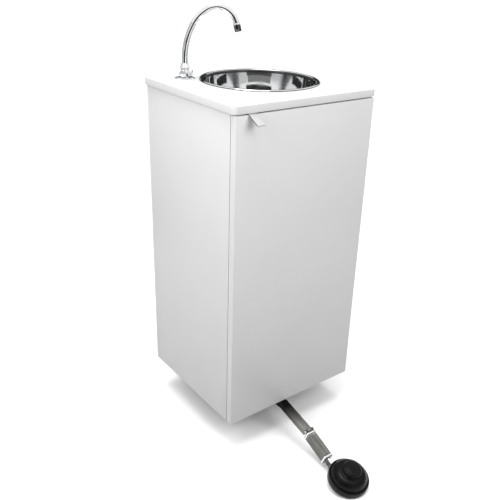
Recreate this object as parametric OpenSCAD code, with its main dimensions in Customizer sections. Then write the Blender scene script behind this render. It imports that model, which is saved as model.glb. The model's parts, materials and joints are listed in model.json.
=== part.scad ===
// Portable handwash sink: a board cabinet on wheels and feet, with a round
// drop-in basin, a swivel spout, two water cans and a foot pump on a fold-up arm.
// Right-handed, +Z up, the door faces -Y, the origin is on the floor at the
// middle of the whole object's footprint.

/* [Cabinet] */
// Width of the countertop
counter_w = 420; // [410:2:440]
// Depth of the countertop
counter_d = 385; // [380:1:400]
// Height of the countertop's top face above the floor
counter_h = 910; // [880:2:940]
// Thickness of the boards
board_t = 18; // [16:1:18]
// How far the countertop stands out past each side panel
overhang = 6; // [5.5:0.5:8]
// Radius of the countertop's corners
counter_corner_r = 12; // [6:1:20]
// Gap between the top of the door and the countertop
door_top_gap = 3; // [3:0.5:5]

/* [Basin] */
// Outside diameter of the basin's rim
basin_d = 300; // [290:1:302]
// Depth of the bowl
basin_depth = 125; // [115:1:135]
// Distance of the basin's centre to the right of the middle
basin_x = 23; // [18:1:26]
// Distance of the basin's centre behind the countertop's front
basin_y = 219; // [215:1:222]

/* [Tap] */
// Distance of the tap to the right of the middle
tap_x = -131; // [-134:1:-128]
// Distance of the tap behind the countertop's front
tap_y = 319; // [316:1:326]
// Outside diameter of the spout
spout_d = 15; // [13:0.5:15]

/* [Foot pump] */
// Distance of the pedal arm to the right of the middle
arm_x = -30.5; // [-36:0.5:-20]
// Slope of the fixed bar below the horizontal
bar_slope = 13.8; // [13:0.2:14.6]
// Slope of the folding sleeve below the horizontal
sleeve_slope = 22.5; // [21.5:0.5:23]
// Tilt of the pump away from level
pump_tilt = 15; // [14:0.5:16]
// Distance of the pump's centre in front of the countertop
pump_out = 259; // [257:1:264]
// Radius of the pump's body
pump_r = 52; // [50:0.5:53]
// Travel of the foot button
press_travel = 18; // [10:1:20]

/* [Wheels and feet] */
// Diameter of the rear wheels
wheel_d = 75; // [70:1:76]
// Distance of the wheels and feet from the middle
stand_x = 120; // [110:1:130]

/* [Hidden] */
$fn = 96;

// Heights
door_z = 94;
base_z = 93;
under_counter = counter_h - board_t;
door_top = under_counter - door_top_gap;
base_top = base_z + board_t;

// Widths and depths, measured from the countertop's front face
body_x = counter_w / 2 - overhang;
inside_x = body_x - board_t;
door_y = 0.5;
body_y = door_y + board_t + 2.2;
back_t = 6;
back_y = counter_d - 12;

// Whole footprint, which puts the origin at its middle
pump_rim_h = 15;
pump_pad_t = 2;
reach = pump_out + pump_r * cos(pump_tilt) + pump_rim_h * sin(pump_tilt);
front_y = (reach - counter_d) / 2;

// Door hinges
hinge_axis_x = body_x + 2.9;
hinge_axis_y = body_y - 1.1;
hinge_barrel_r = 2.6;
hinge_pin_r = 1.3;
hinge_len = 54;
hinge_z = [190, 760];
leaf_t = 1.2;
leaf_w = 15;
running = 0.05;

// Door pull
pull_x = -172;
pull_w = 20;
pull_t = 2;
pull_out = 33;
pull_drop = 17;

// Basin
rim_top = 3.4;
gasket_t = 2.1;
basin_t = 1;
cutout_r = basin_d / 2 - 8;
bowl_r = cutout_r - 4;
drain_r = 22;

// Tap, with its local +X towards the basin's centre
tap_turn = atan2(basin_y - tap_y, basin_x - tap_x);
tap_body_r = 10.5;
tap_body_h = 24;
collar_h = 12;
socket_z = 8;
straight_top = 46;
shank_r = 8;
shank_len = 62;
side_z = 13;
plug_turn = -22;
plug_y = -16.5;
knob_x = 13;

// Each length of a bent tube starts inside the one before and is a hair slimmer
tube_lead = 0.5;
tube_step = 0.08;

// Spout arcs: radius and angle of each bend
bends = [[165, 30], [92, 28], [47, 108]];
aerator_len = 20;
aerator_r = 8.6;

// Pedal arm
bar_w = 20;
bar_wall = 1.8;
bar_z = base_z - bar_w / 2;
bend_y = -4.4;
bar_in = 80;
bar_len = 101.6;
pin_s = 106.2;
pin_up = bar_w / 2;
pin_y = bend_y - pin_s * cos(bar_slope) - pin_up * sin(bar_slope);
pin_z = bar_z - pin_s * sin(bar_slope) + pin_up * cos(bar_slope);
knuckle_r = 4;
arm_pin_r = 2;
sleeve_w = 25;
sleeve_bore = 20.4;
sleeve_start = 4.6;
sleeve_end = 86;
rib_depth = 0.9;
rim_w = 27.4;
pump_pad_r = pump_r - 2;
pump_z = pump_pad_r * sin(pump_tilt) + pump_pad_t * cos(pump_tilt);

// Water cans
can_w = 160;
can_d = 250;
can_h = 330;
can_y = 230;
can_x = 93;
can_edge = 16;
can_wall = 3;
neck_r = 24;
neck_h = 22;
cap_r = 29;
cap_h = 20;
neck_y = 150;
hose_r = 5;
hose_bore = 3.5;

// Wheels and feet
wheel_r = wheel_d / 2;
wheel_w = 24;
axle_r = 4;
wheel_y = 302;
foot_y = 112;
foot_pad_h = 12;

board_white = "white";
steel = "silver";
black_rubber = [0.08, 0.08, 0.09];
can_plastic = "aliceblue";

// ---------- shared places and shapes ----------

// Moves from the countertop's front face to the origin's frame
module in_cabinet() {
    translate([0, front_y, 0])
        children();
}

module on_basin() {
    in_cabinet()
        translate([basin_x, basin_y, counter_h])
            children();
}

module on_tap() {
    in_cabinet()
        translate([tap_x, tap_y, counter_h])
            rotate([0, 0, tap_turn])
                children();
}

// The bar's sloping part: -Y runs down the slope, +Z is square to it
module on_bar(along = 0) {
    in_cabinet()
        translate([arm_x, bend_y, bar_z])
            rotate([bar_slope, 0, 0])
                translate([0, -along, 0])
                    children();
}

// The folding link, from the arm pin
module on_link(along = 0) {
    in_cabinet()
        translate([arm_x, pin_y, pin_z])
            rotate([sleeve_slope, 0, 0])
                translate([0, -along, 0])
                    children();
}

// The pump, from the centre of its underside
module on_pump() {
    in_cabinet()
        translate([arm_x, -pump_out, pump_z])
            rotate([pump_tilt, 0, 0])
                children();
}

module mirrored_x() {
    children();
    mirror([1, 0, 0])
        children();
}

// A rectangle with round corners, centred
module round_rect(w, d, r) {
    square([w - 2 * r, d], center = true);
    square([w, d - 2 * r], center = true);
    for (sx = [-1, 1], sy = [-1, 1])
        translate([sx * (w / 2 - r), sy * (d / 2 - r)])
            circle(r);
}

// A cylinder along X, centred
module bar_x(r, length) {
    rotate([0, 90, 0])
        cylinder(r = r, h = length, center = true);
}

// A cylinder that runs along -Y from the origin
module rod_out(r, length) {
    rotate([90, 0, 0])
        cylinder(r = r, h = length);
}

// A side profile in the (outward, up) plane, given a width along X
module side_profile(width) {
    rotate([90, 0, -90])
        linear_extrude(width, center = true)
            children();
}

// One bend of round tube that starts at the origin along +Z and turns to +X.
// It begins a little early, inside the wall of the length before it.
module tube_bend(bend_r, angle, outer_r, inner_r) {
    lead = tube_lead / bend_r * 180 / PI;
    translate([bend_r, 0, 0])
        rotate([90, 0, 0])
            rotate([0, 0, 180 - angle])
                rotate_extrude(angle = angle + lead)
                    translate([bend_r, 0])
                        difference() {
                            circle(outer_r);
                            circle(inner_r);
                        }
}

module after_bend(bend_r, angle) {
    translate([bend_r * (1 - cos(angle)), 0, bend_r * sin(angle)])
        rotate([0, angle, 0])
            children();
}

module tube(outer_r, inner_r, length) {
    difference() {
        cylinder(r = outer_r, h = length);
        translate([0, 0, -1])
            cylinder(r = inner_r, h = length + 2);
    }
}

// A tube that rises, shifts sideways by shift along +X and goes on upwards
module s_tube(shift, bend_r, outer_r, inner_r, rise_below, rise_above) {
    angle = acos(1 - shift / (2 * bend_r));
    tube(outer_r, inner_r, rise_below);
    translate([0, 0, rise_below]) {
        tube_bend(bend_r, angle, outer_r - tube_step, inner_r + tube_step);
        after_bend(bend_r, angle)
            rotate([0, 0, 180])
                tube_bend(bend_r, angle, outer_r - 2 * tube_step, inner_r + 2 * tube_step);
    }
    translate([shift, 0, rise_below + 2 * bend_r * sin(angle) - tube_lead])
        tube(outer_r - 3 * tube_step, inner_r + 3 * tube_step, rise_above + tube_lead);
}

function s_rise(shift, bend_r) = 2 * bend_r * sin(acos(1 - shift / (2 * bend_r)));

// ---------- cabinet ----------

module side_panel() {
    translate([inside_x, body_y, base_z])
        cube([board_t, back_y - body_y, under_counter - base_z]);
}

module left_side_panel() {
    color(board_white)
        in_cabinet()
            difference() {
                mirror([1, 0, 0])
                    side_panel();
                bracket_screw_holes(-1);
            }
}

module right_side_panel() {
    color(board_white)
        in_cabinet()
            difference() {
                side_panel();
                bracket_screw_holes(1);
            }
}

module back_panel() {
    color(board_white)
        in_cabinet()
            translate([-body_x, back_y, base_z])
                cube([2 * body_x, back_t, under_counter - base_z]);
}

nipple_y = 66;
module base_panel() {
    color(board_white)
        in_cabinet()
            difference() {
                translate([-inside_x, body_y, base_z])
                    cube([2 * inside_x, back_y - body_y, board_t]);
                translate([arm_x, nipple_y, base_z - 1])
                    cylinder(r = hose_r + 0.1, h = board_t + 2);
                at_clamp_screws()
                    cylinder(r = clamp_screw_r + running, h = clamp_screw_len);
            }
}

rail_h = 60;
module front_rail() {
    color(board_white)
        in_cabinet()
            translate([-inside_x, body_y, under_counter - rail_h])
                cube([2 * inside_x, board_t, rail_h]);
}

rear_rail_z = 640;
module rear_rail() {
    color(board_white)
        in_cabinet()
            translate([-inside_x, back_y - board_t, rear_rail_z])
                cube([2 * inside_x, board_t, rail_h]);
}

module countertop() {
    color(board_white)
        in_cabinet()
            difference() {
                translate([0, counter_d / 2, under_counter])
                    linear_extrude(board_t)
                        round_rect(counter_w, counter_d, counter_corner_r);
                translate([basin_x, basin_y, under_counter - 1])
                    cylinder(r = cutout_r, h = board_t + 2);
                translate([tap_x, tap_y, under_counter - 1])
                    cylinder(r = shank_r + 1, h = board_t + 2);
            }
}

// Steel angle brackets join each side panel to the base and the countertop
bracket_leg = 28;
bracket_t = 2;
bracket_w = 18;
bracket_ys = [90, 362];
screw_r = 1.9;
screw_len = 12;

module bracket_low() {
    translate([inside_x, 0, base_top])
        rotate([90, 0, 0])
            linear_extrude(bracket_w, center = true) {
                translate([-bracket_leg, 0])
                    square([bracket_leg, bracket_t]);
                translate([-bracket_t, 0])
                    square([bracket_t, bracket_leg]);
            }
}

module bracket_high() {
    translate([0, 0, base_top + under_counter])
        mirror([0, 0, 1])
            bracket_low();
}

bracket_hole_up = 18;
function bracket_holes_z() = [base_top + bracket_hole_up, under_counter - bracket_hole_up];

module bracket_screw_holes(side) {
    for (y = bracket_ys, z = bracket_holes_z())
        translate([side * (inside_x + screw_len / 2 - 1), y, z])
            bar_x(screw_r + 0.05, screw_len + 6);
}

module corner_brackets() {
    color(steel)
        in_cabinet()
            for (side = [0, 1])
                mirror([side, 0, 0])
                    for (y = bracket_ys)
                        difference() {
                            translate([0, y, 0]) {
                                bracket_low();
                                bracket_high();
                            }
                            for (z = bracket_holes_z())
                                translate([inside_x, y, z])
                                    bar_x(screw_r + 0.05, 3 * bracket_t);
                        }
}

module bracket_screws() {
    color(steel)
        in_cabinet()
            mirrored_x()
                for (y = bracket_ys, z = bracket_holes_z()) {
                    translate([inside_x - bracket_t - 1, y, z])
                        bar_x(3.6, 2);
                    translate([inside_x - bracket_t + screw_len / 2, y, z])
                        bar_x(screw_r, screw_len);
                }
}

// ---------- basin and drain ----------

// Inner surface of the bowl from the drain out to the rim: [radius, height]
fillet_r = 58;
wall_low_r = bowl_r - 12;
flat_z = -basin_depth + rim_top + 3;
wall_low_z = flat_z + fillet_r;
wall_low_a = -16;
wall_top_a = -5.5;
lip_r = 5;
rim_flat_r = basin_d / 2 - 4;

// The wall is a wide arc that starts square to the fillet's end
wall_r = (rim_top - lip_r - lip_r * sin(wall_top_a) - wall_low_z - fillet_r * sin(wall_low_a))
    / (sin(wall_top_a) - sin(wall_low_a));
wall_x = wall_low_r - fillet_r - (wall_r - fillet_r) * cos(wall_low_a);
wall_z = wall_low_z - (wall_r - fillet_r) * sin(wall_low_a);
lip_x = wall_x + (wall_r + lip_r) * cos(wall_top_a);

function arc_points(cx, cz, r, from, to, steps) =
    [for (i = [0 : steps]) let (a = from + (to - from) * i / steps) [cx + r * cos(a), cz + r * sin(a)]];

bowl_inside = concat(
    [[drain_r, flat_z - 3]],
    arc_points(wall_low_r - fillet_r, wall_low_z, fillet_r, -88, wall_low_a, 9),
    arc_points(wall_x, wall_z, wall_r, wall_low_a + 2.6, wall_top_a - 2.6, 2),
    arc_points(lip_x, rim_top - lip_r, lip_r, 180 + wall_top_a, 90, 5),
    arc_points(rim_flat_r, rim_top - 4, 4, 82, 20, 5)
);

// Direction square to a path of points at point i, to its left
function side_of(path, i) =
    let (a = path[max(i - 1, 0)], b = path[min(i + 1, len(path) - 1)], d = b - a)
    [-d[1], d[0]] / norm(d);

// The path with a thickness on its right-hand side
function thicken(path, t) =
    concat(path, [for (i = [len(path) - 1 : -1 : 0]) path[i] - t * side_of(path, i)]);

module basin() {
    color(steel)
        on_basin()
            rotate_extrude()
                polygon(thicken(bowl_inside, basin_t));
}

module basin_gasket() {
    color(black_rubber)
        on_basin()
            tube(basin_d / 2 - 3, cutout_r + 2, gasket_t);
}

module basin_clips() {
    clip_w = 16;
    clip_t = 2;
    color(steel)
        on_basin()
            for (a = [20 : 90 : 290])
                rotate([0, 0, a])
                    translate([cutout_r, 0, -board_t])
                        rotate([90, 0, 0])
                            linear_extrude(clip_w, center = true)
                                polygon([
                                    [-1, -clip_t], [15, -clip_t], [15, 0], [-3, 0],
                                    [-3, -14], [-6.8, -14], [-6.8, -16], [-1, -16]
                                ]);
}

strainer_flange_r = 34;
strainer_z = flat_z - 3;
module drain_strainer() {
    color(steel)
        on_basin()
            translate([0, 0, strainer_z])
                difference() {
                    union() {
                        translate([0, 0, 0.5])
                            cylinder(r1 = drain_r + 6, r2 = drain_r + 4, h = 1);
                        translate([0, 0, -44])
                            cylinder(r = drain_r - 1, h = 45);
                    }
                    translate([0, 0, -0.6])
                        cylinder(r = drain_r - 4, h = 6);
                    translate([0, 0, -45])
                        cylinder(r = drain_r - 4, h = 42.4);
                    for (i = [0 : 5])
                        rotate([0, 0, 60 * i])
                            translate([10, 0, -4])
                                cylinder(r = 3, h = 5);
                    translate([0, 0, -4])
                        cylinder(r = 3, h = 5);
                }
}

module drain_nut() {
    color("dimgray")
        on_basin()
            translate([0, 0, strainer_z - 11.2])
                difference() {
                    union() {
                        cylinder(r = 29, h = 10);
                        for (i = [0 : 3])
                            rotate([0, 0, 90 * i + 45])
                                translate([29, 0, 5])
                                    cube([10, 7, 10], center = true);
                    }
                    translate([0, 0, -1])
                        cylinder(r = drain_r - 0.95, h = 12);
                }
}

tailpiece_top = strainer_z - 44;
tailpiece_len = 46;
spigot_len = 16;
waste_hose_r = 16;
waste_hose_bore = 14;
module drain_tailpiece() {
    color("gainsboro")
        on_basin()
            translate([0, 0, tailpiece_top - tailpiece_len]) {
                tube(waste_hose_bore - running, 11.5, tailpiece_len);
                translate([0, 0, spigot_len])
                    tube(waste_hose_r + 1, 13, tailpiece_len - spigot_len);
                translate([0, 0, tailpiece_len - 6])
                    tube(drain_r - 1, 13, 6);
            }
}

module waste_hose() {
    shift = norm([can_x - basin_x, neck_y - basin_y]);
    bottom = base_top + can_h + neck_h + cap_h - 6;
    top = counter_h + tailpiece_top - tailpiece_len + spigot_len - running;
    bend = 62;
    spare = top - bottom - s_rise(shift, bend);
    color("lightgray")
        in_cabinet()
            translate([can_x, neck_y, bottom])
                rotate([0, 0, atan2(basin_y - neck_y, basin_x - can_x)])
                    s_tube(shift, bend, waste_hose_r, waste_hose_bore, spare / 2, spare / 2);
}

// ---------- tap ----------

module tap_flange() {
    color(steel)
        on_tap()
            rotate_extrude()
                polygon(concat(
                    [[tap_body_r + 0.1, 0], [25, 0], [25, 1.2]],
                    arc_points(13, -25, 28.8, 64.5, 90, 6),
                    [[tap_body_r + 0.1, 3.8]]
                ));
}

module tap_body() {
    color(steel)
        on_tap()
            difference() {
                union() {
                    cylinder(r = tap_body_r, h = tap_body_h);
                    translate([0, 0, side_z])
                        rotate([0, 0, plug_turn]) {
                            rod_out(7, -plug_y);
                            translate([0, plug_y + 3.5, 0])
                                rod_out(8.2, 3);
                        }
                    translate([0, 0, side_z])
                        rotate([0, 90, 0])
                            cylinder(r = 6, h = knob_x);
                }
                translate([0, 0, side_z])
                    rotate([0, 0, plug_turn])
                        translate([-4, plug_y - 1, -0.9])
                            cube([8, 2.2, 1.8]);
                translate([0, 0, socket_z])
                    cylinder(r = spout_d / 2 + running, h = tap_body_h);
                translate([0, 0, -1])
                    cylinder(r = 4, h = socket_z + 2);
            }
}

module spout_nut() {
    color(steel)
        on_tap()
            translate([0, 0, tap_body_h])
                difference() {
                    union() {
                        cylinder(r = 11.6, h = 4);
                        translate([0, 0, 4])
                            cylinder(r1 = 11.6, r2 = 8.8, h = collar_h - 4);
                    }
                    translate([0, 0, -1])
                        cylinder(r = spout_d / 2 + running, h = collar_h + 2);
                }
}

module along_spout() {
    translate([0, 0, straight_top])
        after_bend(bends[0][0], bends[0][1])
            after_bend(bends[1][0], bends[1][1])
                after_bend(bends[2][0], bends[2][1])
                    children();
}

module spout_bends(i, outer, inner) {
    tube_bend(bends[i][0], bends[i][1], outer, inner);
    if (i < len(bends) - 1)
        after_bend(bends[i][0], bends[i][1])
            spout_bends(i + 1, outer - tube_step, inner + tube_step);
}

module spout() {
    outer = spout_d / 2;
    inner = outer - 1.2;
    color(steel)
        on_tap() {
            translate([0, 0, socket_z + 0.5])
                tube(outer, inner, straight_top - socket_z - 0.5);
            translate([0, 0, straight_top])
                spout_bends(0, outer - tube_step, inner + tube_step);
        }
}

module aerator() {
    color(steel)
        on_tap()
            along_spout()
                difference() {
                    union() {
                        cylinder(r1 = aerator_r - 0.8, r2 = aerator_r, h = 2);
                        translate([0, 0, 2])
                            cylinder(r = aerator_r, h = aerator_len - 3);
                        translate([0, 0, aerator_len - 1])
                            cylinder(r1 = aerator_r, r2 = aerator_r - 0.8, h = 1);
                    }
                    translate([0, 0, 6])
                        cylinder(r = aerator_r - 1.6, h = aerator_len);
                    translate([0, 0, -1])
                        cylinder(r = 5, h = 8);
                }
}

// Knob on the side of the tap, with a grip across its face
module tap_lever() {
    color(steel)
        on_tap()
            translate([knob_x + 0.1, 0, side_z]) {
                rotate([0, 90, 0]) {
                    cylinder(r = 7, h = 1.4);
                    translate([0, 0, 1.4])
                        cylinder(r = 8.4, h = 2.4);
                }
                translate([3.7, -2, -8.2])
                    cube([2.6, 4, 16.4]);
            }
}

module tap_shank() {
    color("goldenrod")
        on_tap()
            translate([0, 0, -shank_len])
                tube(shank_r, hose_r + running, shank_len);
}

module tap_lock_nut() {
    color("goldenrod")
        on_tap()
            translate([0, 0, -board_t - 10])
                difference() {
                    union() {
                        cylinder(r = 16, h = 8, $fn = 6);
                        translate([0, 0, 8])
                            cylinder(r = 18, h = 2);
                    }
                    translate([0, 0, -1])
                        cylinder(r = shank_r + running, h = 12);
                }
}

// ---------- water cans and hoses ----------

module can_block(inset) {
    r = can_edge - inset;
    hull()
        for (sx = [-1, 1], sy = [-1, 1], z = [can_edge, can_h - can_edge])
            translate([
                sx * (can_w / 2 - can_edge),
                sy * (can_d / 2 - can_edge),
                z
            ])
                sphere(r, $fn = 24);
}

handle_y = 10;
handle_len = 100;
handle_rise = 34;
module can_handle() {
    translate([0, handle_y, can_h - 2])
        rotate([90, 0, 90])
            linear_extrude(22, center = true)
                difference() {
                    translate([0, handle_rise / 2])
                        round_rect(handle_len, handle_rise, 8);
                    translate([0, (handle_rise - 12) / 2 + 1])
                        round_rect(handle_len - 26, handle_rise - 14, 6);
                }
}

module water_can(x) {
    in_cabinet()
        translate([x, can_y, base_top])
            difference() {
                union() {
                    can_block(0);
                    can_handle();
                    translate([0, neck_y - can_y, can_h - 6])
                        cylinder(r = neck_r, h = neck_h + 6);
                }
                can_block(can_wall);
                translate([0, neck_y - can_y, can_h - 12])
                    cylinder(r = neck_r - can_wall, h = neck_h + 20);
            }
}

module can_cap(x) {
    in_cabinet()
        translate([x, neck_y, base_top + can_h + neck_h - 16])
            difference() {
                union() {
                    cylinder(r = cap_r, h = cap_h);
                    for (i = [0 : 15])
                        rotate([0, 0, 22.5 * i])
                            translate([cap_r, 0, 1.5])
                                cylinder(r = 1.4, h = cap_h - 3);
                }
                translate([0, 0, -1])
                    cylinder(r = neck_r + 0.4, h = 17);
                children();
            }
}

cap_hole_z = 10;
air_port = 12;

module fresh_water_can() {
    color(can_plastic)
        water_can(-can_x);
}

module waste_water_can() {
    color("lightsteelblue")
        water_can(can_x);
}

module fresh_can_cap() {
    color("royalblue")
        can_cap(-can_x) {
            translate([0, 0, cap_hole_z])
                cylinder(r = hose_r + 0.1, h = 20);
            translate([air_port, 0, cap_hole_z])
                cylinder(r = hose_r + 0.1, h = 20);
        }
}

module waste_can_cap() {
    color("dimgray")
        can_cap(can_x)
            translate([0, 0, cap_hole_z])
                cylinder(r = waste_hose_r + 0.2, h = 20);
}

// Runs from low in the fresh water can, through its cap, up to the tap's shank
module water_hose() {
    start = base_top + 20;
    shift = norm([tap_x + can_x, tap_y - neck_y]);
    top = counter_h - shank_len + 12;
    bend = 90;
    below = 400;
    above = top - start - below - s_rise(shift, bend);
    color("lightcyan")
        in_cabinet()
            translate([-can_x, neck_y, start])
                rotate([0, 0, atan2(tap_y - neck_y, tap_x + can_x)])
                    s_tube(shift, bend, hose_r, hose_bore, below, above);
}

// Rises from the nipple in the base, loops over and enters the fresh can's cap
air_top = 520;
nipple_nut_h = 5;
module air_hose() {
    start = base_top + nipple_nut_h;
    cap_top = base_top + can_h + neck_h + cap_h - 16;
    span = norm([-can_x + air_port - arm_x, neck_y - nipple_y]);
    color("lightcyan")
        in_cabinet()
            translate([arm_x, nipple_y, start])
                rotate([0, 0, atan2(neck_y - nipple_y, -can_x + air_port - arm_x)]) {
                    tube(hose_r, hose_bore, air_top - start);
                    translate([0, 0, air_top - start])
                        tube_bend(span / 2, 180, hose_r - tube_step, hose_bore + tube_step);
                    translate([span, 0, cap_top - 4 - start])
                        tube(
                            hose_r - 2 * tube_step,
                            hose_bore + 2 * tube_step,
                            air_top - cap_top + 4 + tube_lead
                        );
                }
}

module hose_nipple() {
    color("goldenrod")
        in_cabinet()
            translate([arm_x, nipple_y, 0])
                difference() {
                    union() {
                        translate([0, 0, bar_z])
                            cylinder(r = hose_r, h = base_top + 1 - bar_z);
                        translate([0, 0, base_top])
                            cylinder(r = 11, h = nipple_nut_h, $fn = 6);
                        translate([0, 0, base_top])
                            cylinder(r = hose_bore - running, h = 24);
                    }
                    translate([0, 0, bar_z - 1])
                        cylinder(r = 2, h = 100);
                }
}

// ---------- door ----------

module door_panel() {
    color(board_white)
        in_cabinet()
            difference() {
                translate([-body_x, door_y, door_z])
                    cube([2 * body_x, board_t, door_top - door_z]);
                for (x = [pull_x + 6, pull_x + pull_w - 6])
                    translate([x, door_y + board_t / 2, door_top - 16])
                        cylinder(r = 1.55, h = 20);
            }
}

// A bent tab on the door's top edge that reaches out and slightly down
module door_pull() {
    color(board_white)
        in_cabinet()
            difference() {
                translate([pull_x + pull_w / 2, door_y, door_top])
                    side_profile(pull_w)
                        polygon([
                            [-board_t + 1, 0],
                            [0, 0],
                            [pull_out - 4, -pull_drop + 1],
                            [pull_out - 1.5, -pull_drop - 0.5],
                            [pull_out, -pull_drop + 1.5],
                            [pull_out - 3.4, -pull_drop + pull_t + 1.2],
                            [0.4, pull_t],
                            [-board_t + 1, pull_t]
                        ]);
                for (x = [pull_x + 6, pull_x + pull_w - 6])
                    translate([x, door_y + board_t / 2, door_top - 1])
                        cylinder(r = 1.55, h = 5);
                for (x = [pull_x + 6, pull_x + pull_w - 6])
                    translate([x, door_y + board_t / 2, door_top + 0.7])
                        cylinder(r1 = 1.6, r2 = 3, h = 1.4);
            }
}

module pull_screws() {
    color(steel)
        in_cabinet()
            for (x = [pull_x + 6, pull_x + pull_w - 6])
                translate([x, door_y + board_t / 2, door_top]) {
                    translate([0, 0, -14])
                        cylinder(r = 1.5, h = 15);
                    translate([0, 0, 0.8])
                        cylinder(r1 = 1.5, r2 = 2.7, h = 1.1);
                }
}

// Knuckles at fractions of the hinge's length, on the hinge axis
module knuckles(from_to, z) {
    gap = 0.15;
    for (k = from_to)
        translate([hinge_axis_x, hinge_axis_y, z + k[0] * hinge_len + gap])
            tube(hinge_barrel_r, hinge_pin_r + running, (k[1] - k[0]) * hinge_len - 2 * gap);
}

// A leaf on a board's outer face, with a tail that reaches its knuckles
module leaf(from_to, z, toward) {
    gap = 0.15;
    difference() {
        union() {
            translate([body_x, toward > 0 ? hinge_axis_y + 3.2 : hinge_axis_y - 3.2 - leaf_w, z])
                cube([leaf_t, leaf_w, hinge_len]);
            for (k = from_to)
                translate([
                    body_x,
                    toward > 0 ? hinge_axis_y : hinge_axis_y - 3.4,
                    z + k[0] * hinge_len + gap
                ])
                    cube([leaf_t, 3.4, (k[1] - k[0]) * hinge_len - 2 * gap]);
        }
        translate([hinge_axis_x, hinge_axis_y, z - 1])
            cylinder(r = hinge_barrel_r - 0.3, h = hinge_len + 2);
    }
    knuckles(from_to, z);
}

frame_knuckles = [[0, 0.2], [0.4, 0.6], [0.8, 1]];
door_knuckles = [[0.2, 0.4], [0.6, 0.8]];

module hinge_frame_leaves() {
    color(steel)
        in_cabinet()
            for (z = hinge_z)
                leaf(frame_knuckles, z, 1);
}

module hinge_door_leaves() {
    color(steel)
        in_cabinet()
            for (z = hinge_z)
                leaf(door_knuckles, z, -1);
}

module hinge_pins() {
    color(steel)
        in_cabinet()
            for (z = hinge_z)
                translate([hinge_axis_x, hinge_axis_y, z - 1]) {
                    cylinder(r = hinge_pin_r, h = hinge_len + 2);
                    for (end = [-1, hinge_len + 2])
                        translate([0, 0, end])
                            cylinder(r = 2.2, h = 1);
                }
}

catch_z = 780;
catch_x = -inside_x + 9;
module magnetic_catch() {
    color("dimgray")
        in_cabinet()
            translate([-inside_x, body_y - 0.4, catch_z])
                cube([18, 24, 40]);
}

module catch_plate() {
    color(steel)
        in_cabinet()
            translate([catch_x, door_y + board_t + 1.6, catch_z + 20])
                rod_out(7, 1.6);
}

// ---------- pedal arm ----------

// Outline of the bent bar in the (outward, up) plane, with its half height
function bar_outline(half, tail, length) = [
    [-tail, half],
    [half * tan(bar_slope / 2), half],
    [length * cos(bar_slope) + half * sin(bar_slope), -length * sin(bar_slope) + half * cos(bar_slope)],
    [length * cos(bar_slope) - half * sin(bar_slope), -length * sin(bar_slope) - half * cos(bar_slope)],
    [-half * tan(bar_slope / 2), -half],
    [-tail, -half]
];

module arm_bar() {
    inner = bar_w / 2 - bar_wall;
    color("gray")
        in_cabinet()
            difference() {
                translate([arm_x, bend_y, bar_z])
                    difference() {
                        side_profile(bar_w)
                            polygon(bar_outline(bar_w / 2, bar_in, bar_len));
                        side_profile(2 * inner)
                            polygon(bar_outline(inner, bar_in - 3, bar_len + 1));
                    }
                translate([arm_x, nipple_y, bar_z])
                    cylinder(r = hose_r + running, h = 20);
            }
}

clamp_ys = [30, 52];
clamp_long = 14;
clamp_wide = 50;
clamp_t = 2;
clamp_screw_x = 18;
clamp_screw_r = 2;
clamp_screw_len = 16;

// Moves to the underside of each clamp screw's head
module at_clamp_screws() {
    for (y = clamp_ys, side = [-1, 1])
        translate([arm_x + side * clamp_screw_x, y, base_z - clamp_t - 2.2])
            children();
}

module arm_clamps() {
    color(steel)
        in_cabinet()
            for (y = clamp_ys)
                translate([arm_x, y, base_z])
                    difference() {
                        rotate([90, 0, 0])
                            linear_extrude(clamp_long, center = true)
                                difference() {
                                    union() {
                                        translate([-clamp_wide / 2, -clamp_t])
                                            square([clamp_wide, clamp_t]);
                                        translate([-bar_w / 2 - clamp_t, -bar_w - clamp_t])
                                            square([bar_w + 2 * clamp_t, bar_w + clamp_t]);
                                    }
                                    translate([-bar_w / 2, -bar_w])
                                        square([bar_w, bar_w + 1]);
                                }
                        for (side = [-1, 1])
                            translate([side * clamp_screw_x, 0, -5])
                                cylinder(r = clamp_screw_r + running, h = 10);
                    }
}

module clamp_screws() {
    color(steel)
        in_cabinet()
            at_clamp_screws() {
                cylinder(r = 4, h = 2.2);
                cylinder(r = clamp_screw_r, h = clamp_screw_len - 1);
            }
}

// Solid end of the bar with the middle knuckle of the fold hinge
module arm_knuckle() {
    inner = bar_w / 2 - bar_wall - running;
    knuckle_w = 9;
    color(steel)
        on_bar(pin_s) {
            difference() {
                union() {
                    translate([-inner, pin_s - bar_len, -inner])
                        cube([2 * inner, 14, 2 * inner]);
                    translate([-knuckle_w / 2, 0, pin_up - knuckle_r])
                        cube([knuckle_w, pin_s - bar_len, 5]);
                    translate([-knuckle_w / 2, 0, pin_up - knuckle_r])
                        cube([knuckle_w, pin_s - bar_len + 1, inner - pin_up + knuckle_r]);
                    translate([0, 0, pin_up])
                        bar_x(knuckle_r, knuckle_w);
                }
                translate([0, 0, pin_up])
                    bar_x(arm_pin_r + running, 40);
                translate([0, 30, -3])
                    rod_out(3, 40);
            }
        }
}

module arm_pin() {
    color(steel)
        on_link() {
            bar_x(arm_pin_r, 25);
            for (side = [-1, 1])
                translate([side * 13, 0, 0])
                    bar_x(3.2, 1.2);
        }
}

// Cross-section of the ribbed sleeve, with grooves on its top and sides
module sleeve_section() {
    groove_w = 1.6;
    difference() {
        round_rect(sleeve_w, sleeve_w, 2);
        for (turn = [0, 90, 180, 270], t = [-7.8 : 3.9 : 7.8])
            rotate([0, 0, turn])
                translate([t - groove_w / 2, sleeve_w / 2 - rib_depth])
                    square([groove_w, 2]);
    }
}

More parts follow.
